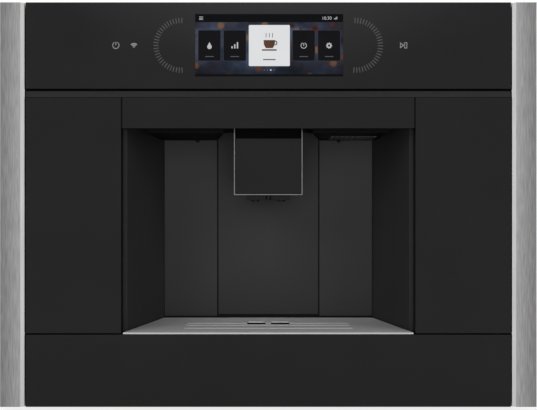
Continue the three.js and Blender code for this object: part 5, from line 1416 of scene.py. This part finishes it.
# %% Transformer
CORE_SIDE, CORE_STEP = 45.6, 0.5  # the sheets' side, and what every second one is longer
CORE_SHEETS = 16
CORE_PITCH, CORE_GAP = 1.53, 0.03
CORE_AT = (-12, 31.5, 31.5)  # its middle from the board's face and lower rear corner
WINDING_WIDTH, WINDING_HEIGHT, WINDING_LENGTH = 25.6, 47, 26


def block(builder, size, middle=(0, 0, 0)):
    """A rectangular block, in millimetres."""
    corners = bmesh.ops.create_cube(builder, size=1)["verts"]
    bmesh.ops.scale(builder, verts=corners, vec=Vector(size) * MM)
    bmesh.ops.translate(builder, verts=corners, vec=Vector(middle) * MM)


core_middle = Vector((BOARD_FACE, power_low.y, power_low.z)) + Vector(CORE_AT)
builder = bmesh.new()
for sheet in range(CORE_SHEETS):
    long = CORE_SIDE + (CORE_STEP if sheet % 2 else 0)
    across = (sheet - (CORE_SHEETS - 1) / 2) * CORE_PITCH
    block(builder, (CORE_PITCH - CORE_GAP, long, long), core_middle + Vector((across, 0, 0)))
settle(new_piece("transformer_core", builder), "housing", core_iron)
winding = plates(
    "transformer_winding", [rounded(WINDING_WIDTH, WINDING_HEIGHT, 2.5)],
    (core_middle.x, core_middle.z),
    core_middle.y - WINDING_LENGTH / 2, WINDING_LENGTH,
)
round_edges(winding, 0.6)
settle(winding, "housing", winding_tape)

# %% [markdown]
# ## Steam grille
# Under the right-hand pod sits a small grille, through which the niche is aired. Its bars are equal
# and evenly spaced, so one bar and the copying tree are enough.

# %% Steam grille
GRILLE_X = (73.6, 129.4)
GRILLE_DEPTH = (75, 123)
GRILLE_THICK = 0.8
BAR_COUNT = 9
BAR_SHARE = 0.76  # how much of its pitch a bar fills
BAR_EDGE = 0.15
grille_y = [FRONT + depth for depth in GRILLE_DEPTH]
grille_z = box_mm("right_ceiling_pod")[0].z - GRILLE_THICK / 2
bar_pitch = (GRILLE_X[1] - GRILLE_X[0]) / BAR_COUNT
builder = bmesh.new()
block(builder, (bar_pitch * BAR_SHARE, grille_y[1] - grille_y[0], GRILLE_THICK))
bmesh.ops.bevel(
    builder, geom=list(builder.edges), offset=BAR_EDGE * MM, segments=1, affect="EDGES"
)
grille_bar = new_piece("grille_bar", builder)
copies("steam_grille_bars", grille_bar, [
    (GRILLE_X[0] + bar_pitch * (i + 0.5), sum(grille_y) / 2, grille_z) for i in range(BAR_COUNT)
], TO_TOP, grille_grey)
bpy.data.objects.remove(grille_bar)

# %% [markdown]
# ## Steel edge and joints of the outlet block
# A thin steel strip runs down one side of the block's face, along its bottom and up the other side.
# It is laid as a U in the plane of the face and given the strip's depth. The nozzle below it is
# moulded in three parts, and the two joints between them are fine dark inlays in its front.

# %% Outlet block
EDGE_STRIP = 1.1
edge_low, edge_high = box_mm("dispenser_trim")
inner_x, inner_z = edge_high.x - EDGE_STRIP, edge_low.z + EDGE_STRIP
steel_edge = plates("outlet_steel_edge", [[
    (edge_low.x, edge_high.z), (edge_low.x, edge_low.z), (edge_high.x, edge_low.z),
    (edge_high.x, edge_high.z), (inner_x, edge_high.z), (inner_x, inner_z),
    (-inner_x, inner_z), (-inner_x, edge_high.z),
]], (0, 0), edge_low.y, edge_high.y - edge_low.y)
round_edges(steel_edge, 0.15)
settle(steel_edge, "dispenser", thin_trim, ["dispenser_trim"])

JOINTS_X = (-2.1, 2.5)
JOINT_WIDTH, JOINT_DEPTH = 0.9, 0.3
JOINT_PROUD, JOINT_SHORT = 0.1, 2.4  # in front of the nozzle, and short of its foot
nozzle_low, nozzle_high = box_mm("coffee_nozzle")
joint_height = nozzle_high.z - nozzle_low.z - JOINT_SHORT
joint_lines = plates(
    "nozzle_joints", [bar(JOINT_WIDTH, joint_height, x) for x in JOINTS_X],
    (0, nozzle_high.z - joint_height / 2), nozzle_low.y - JOINT_PROUD, JOINT_DEPTH,
)
settle(joint_lines, "dispenser", shaft_black)
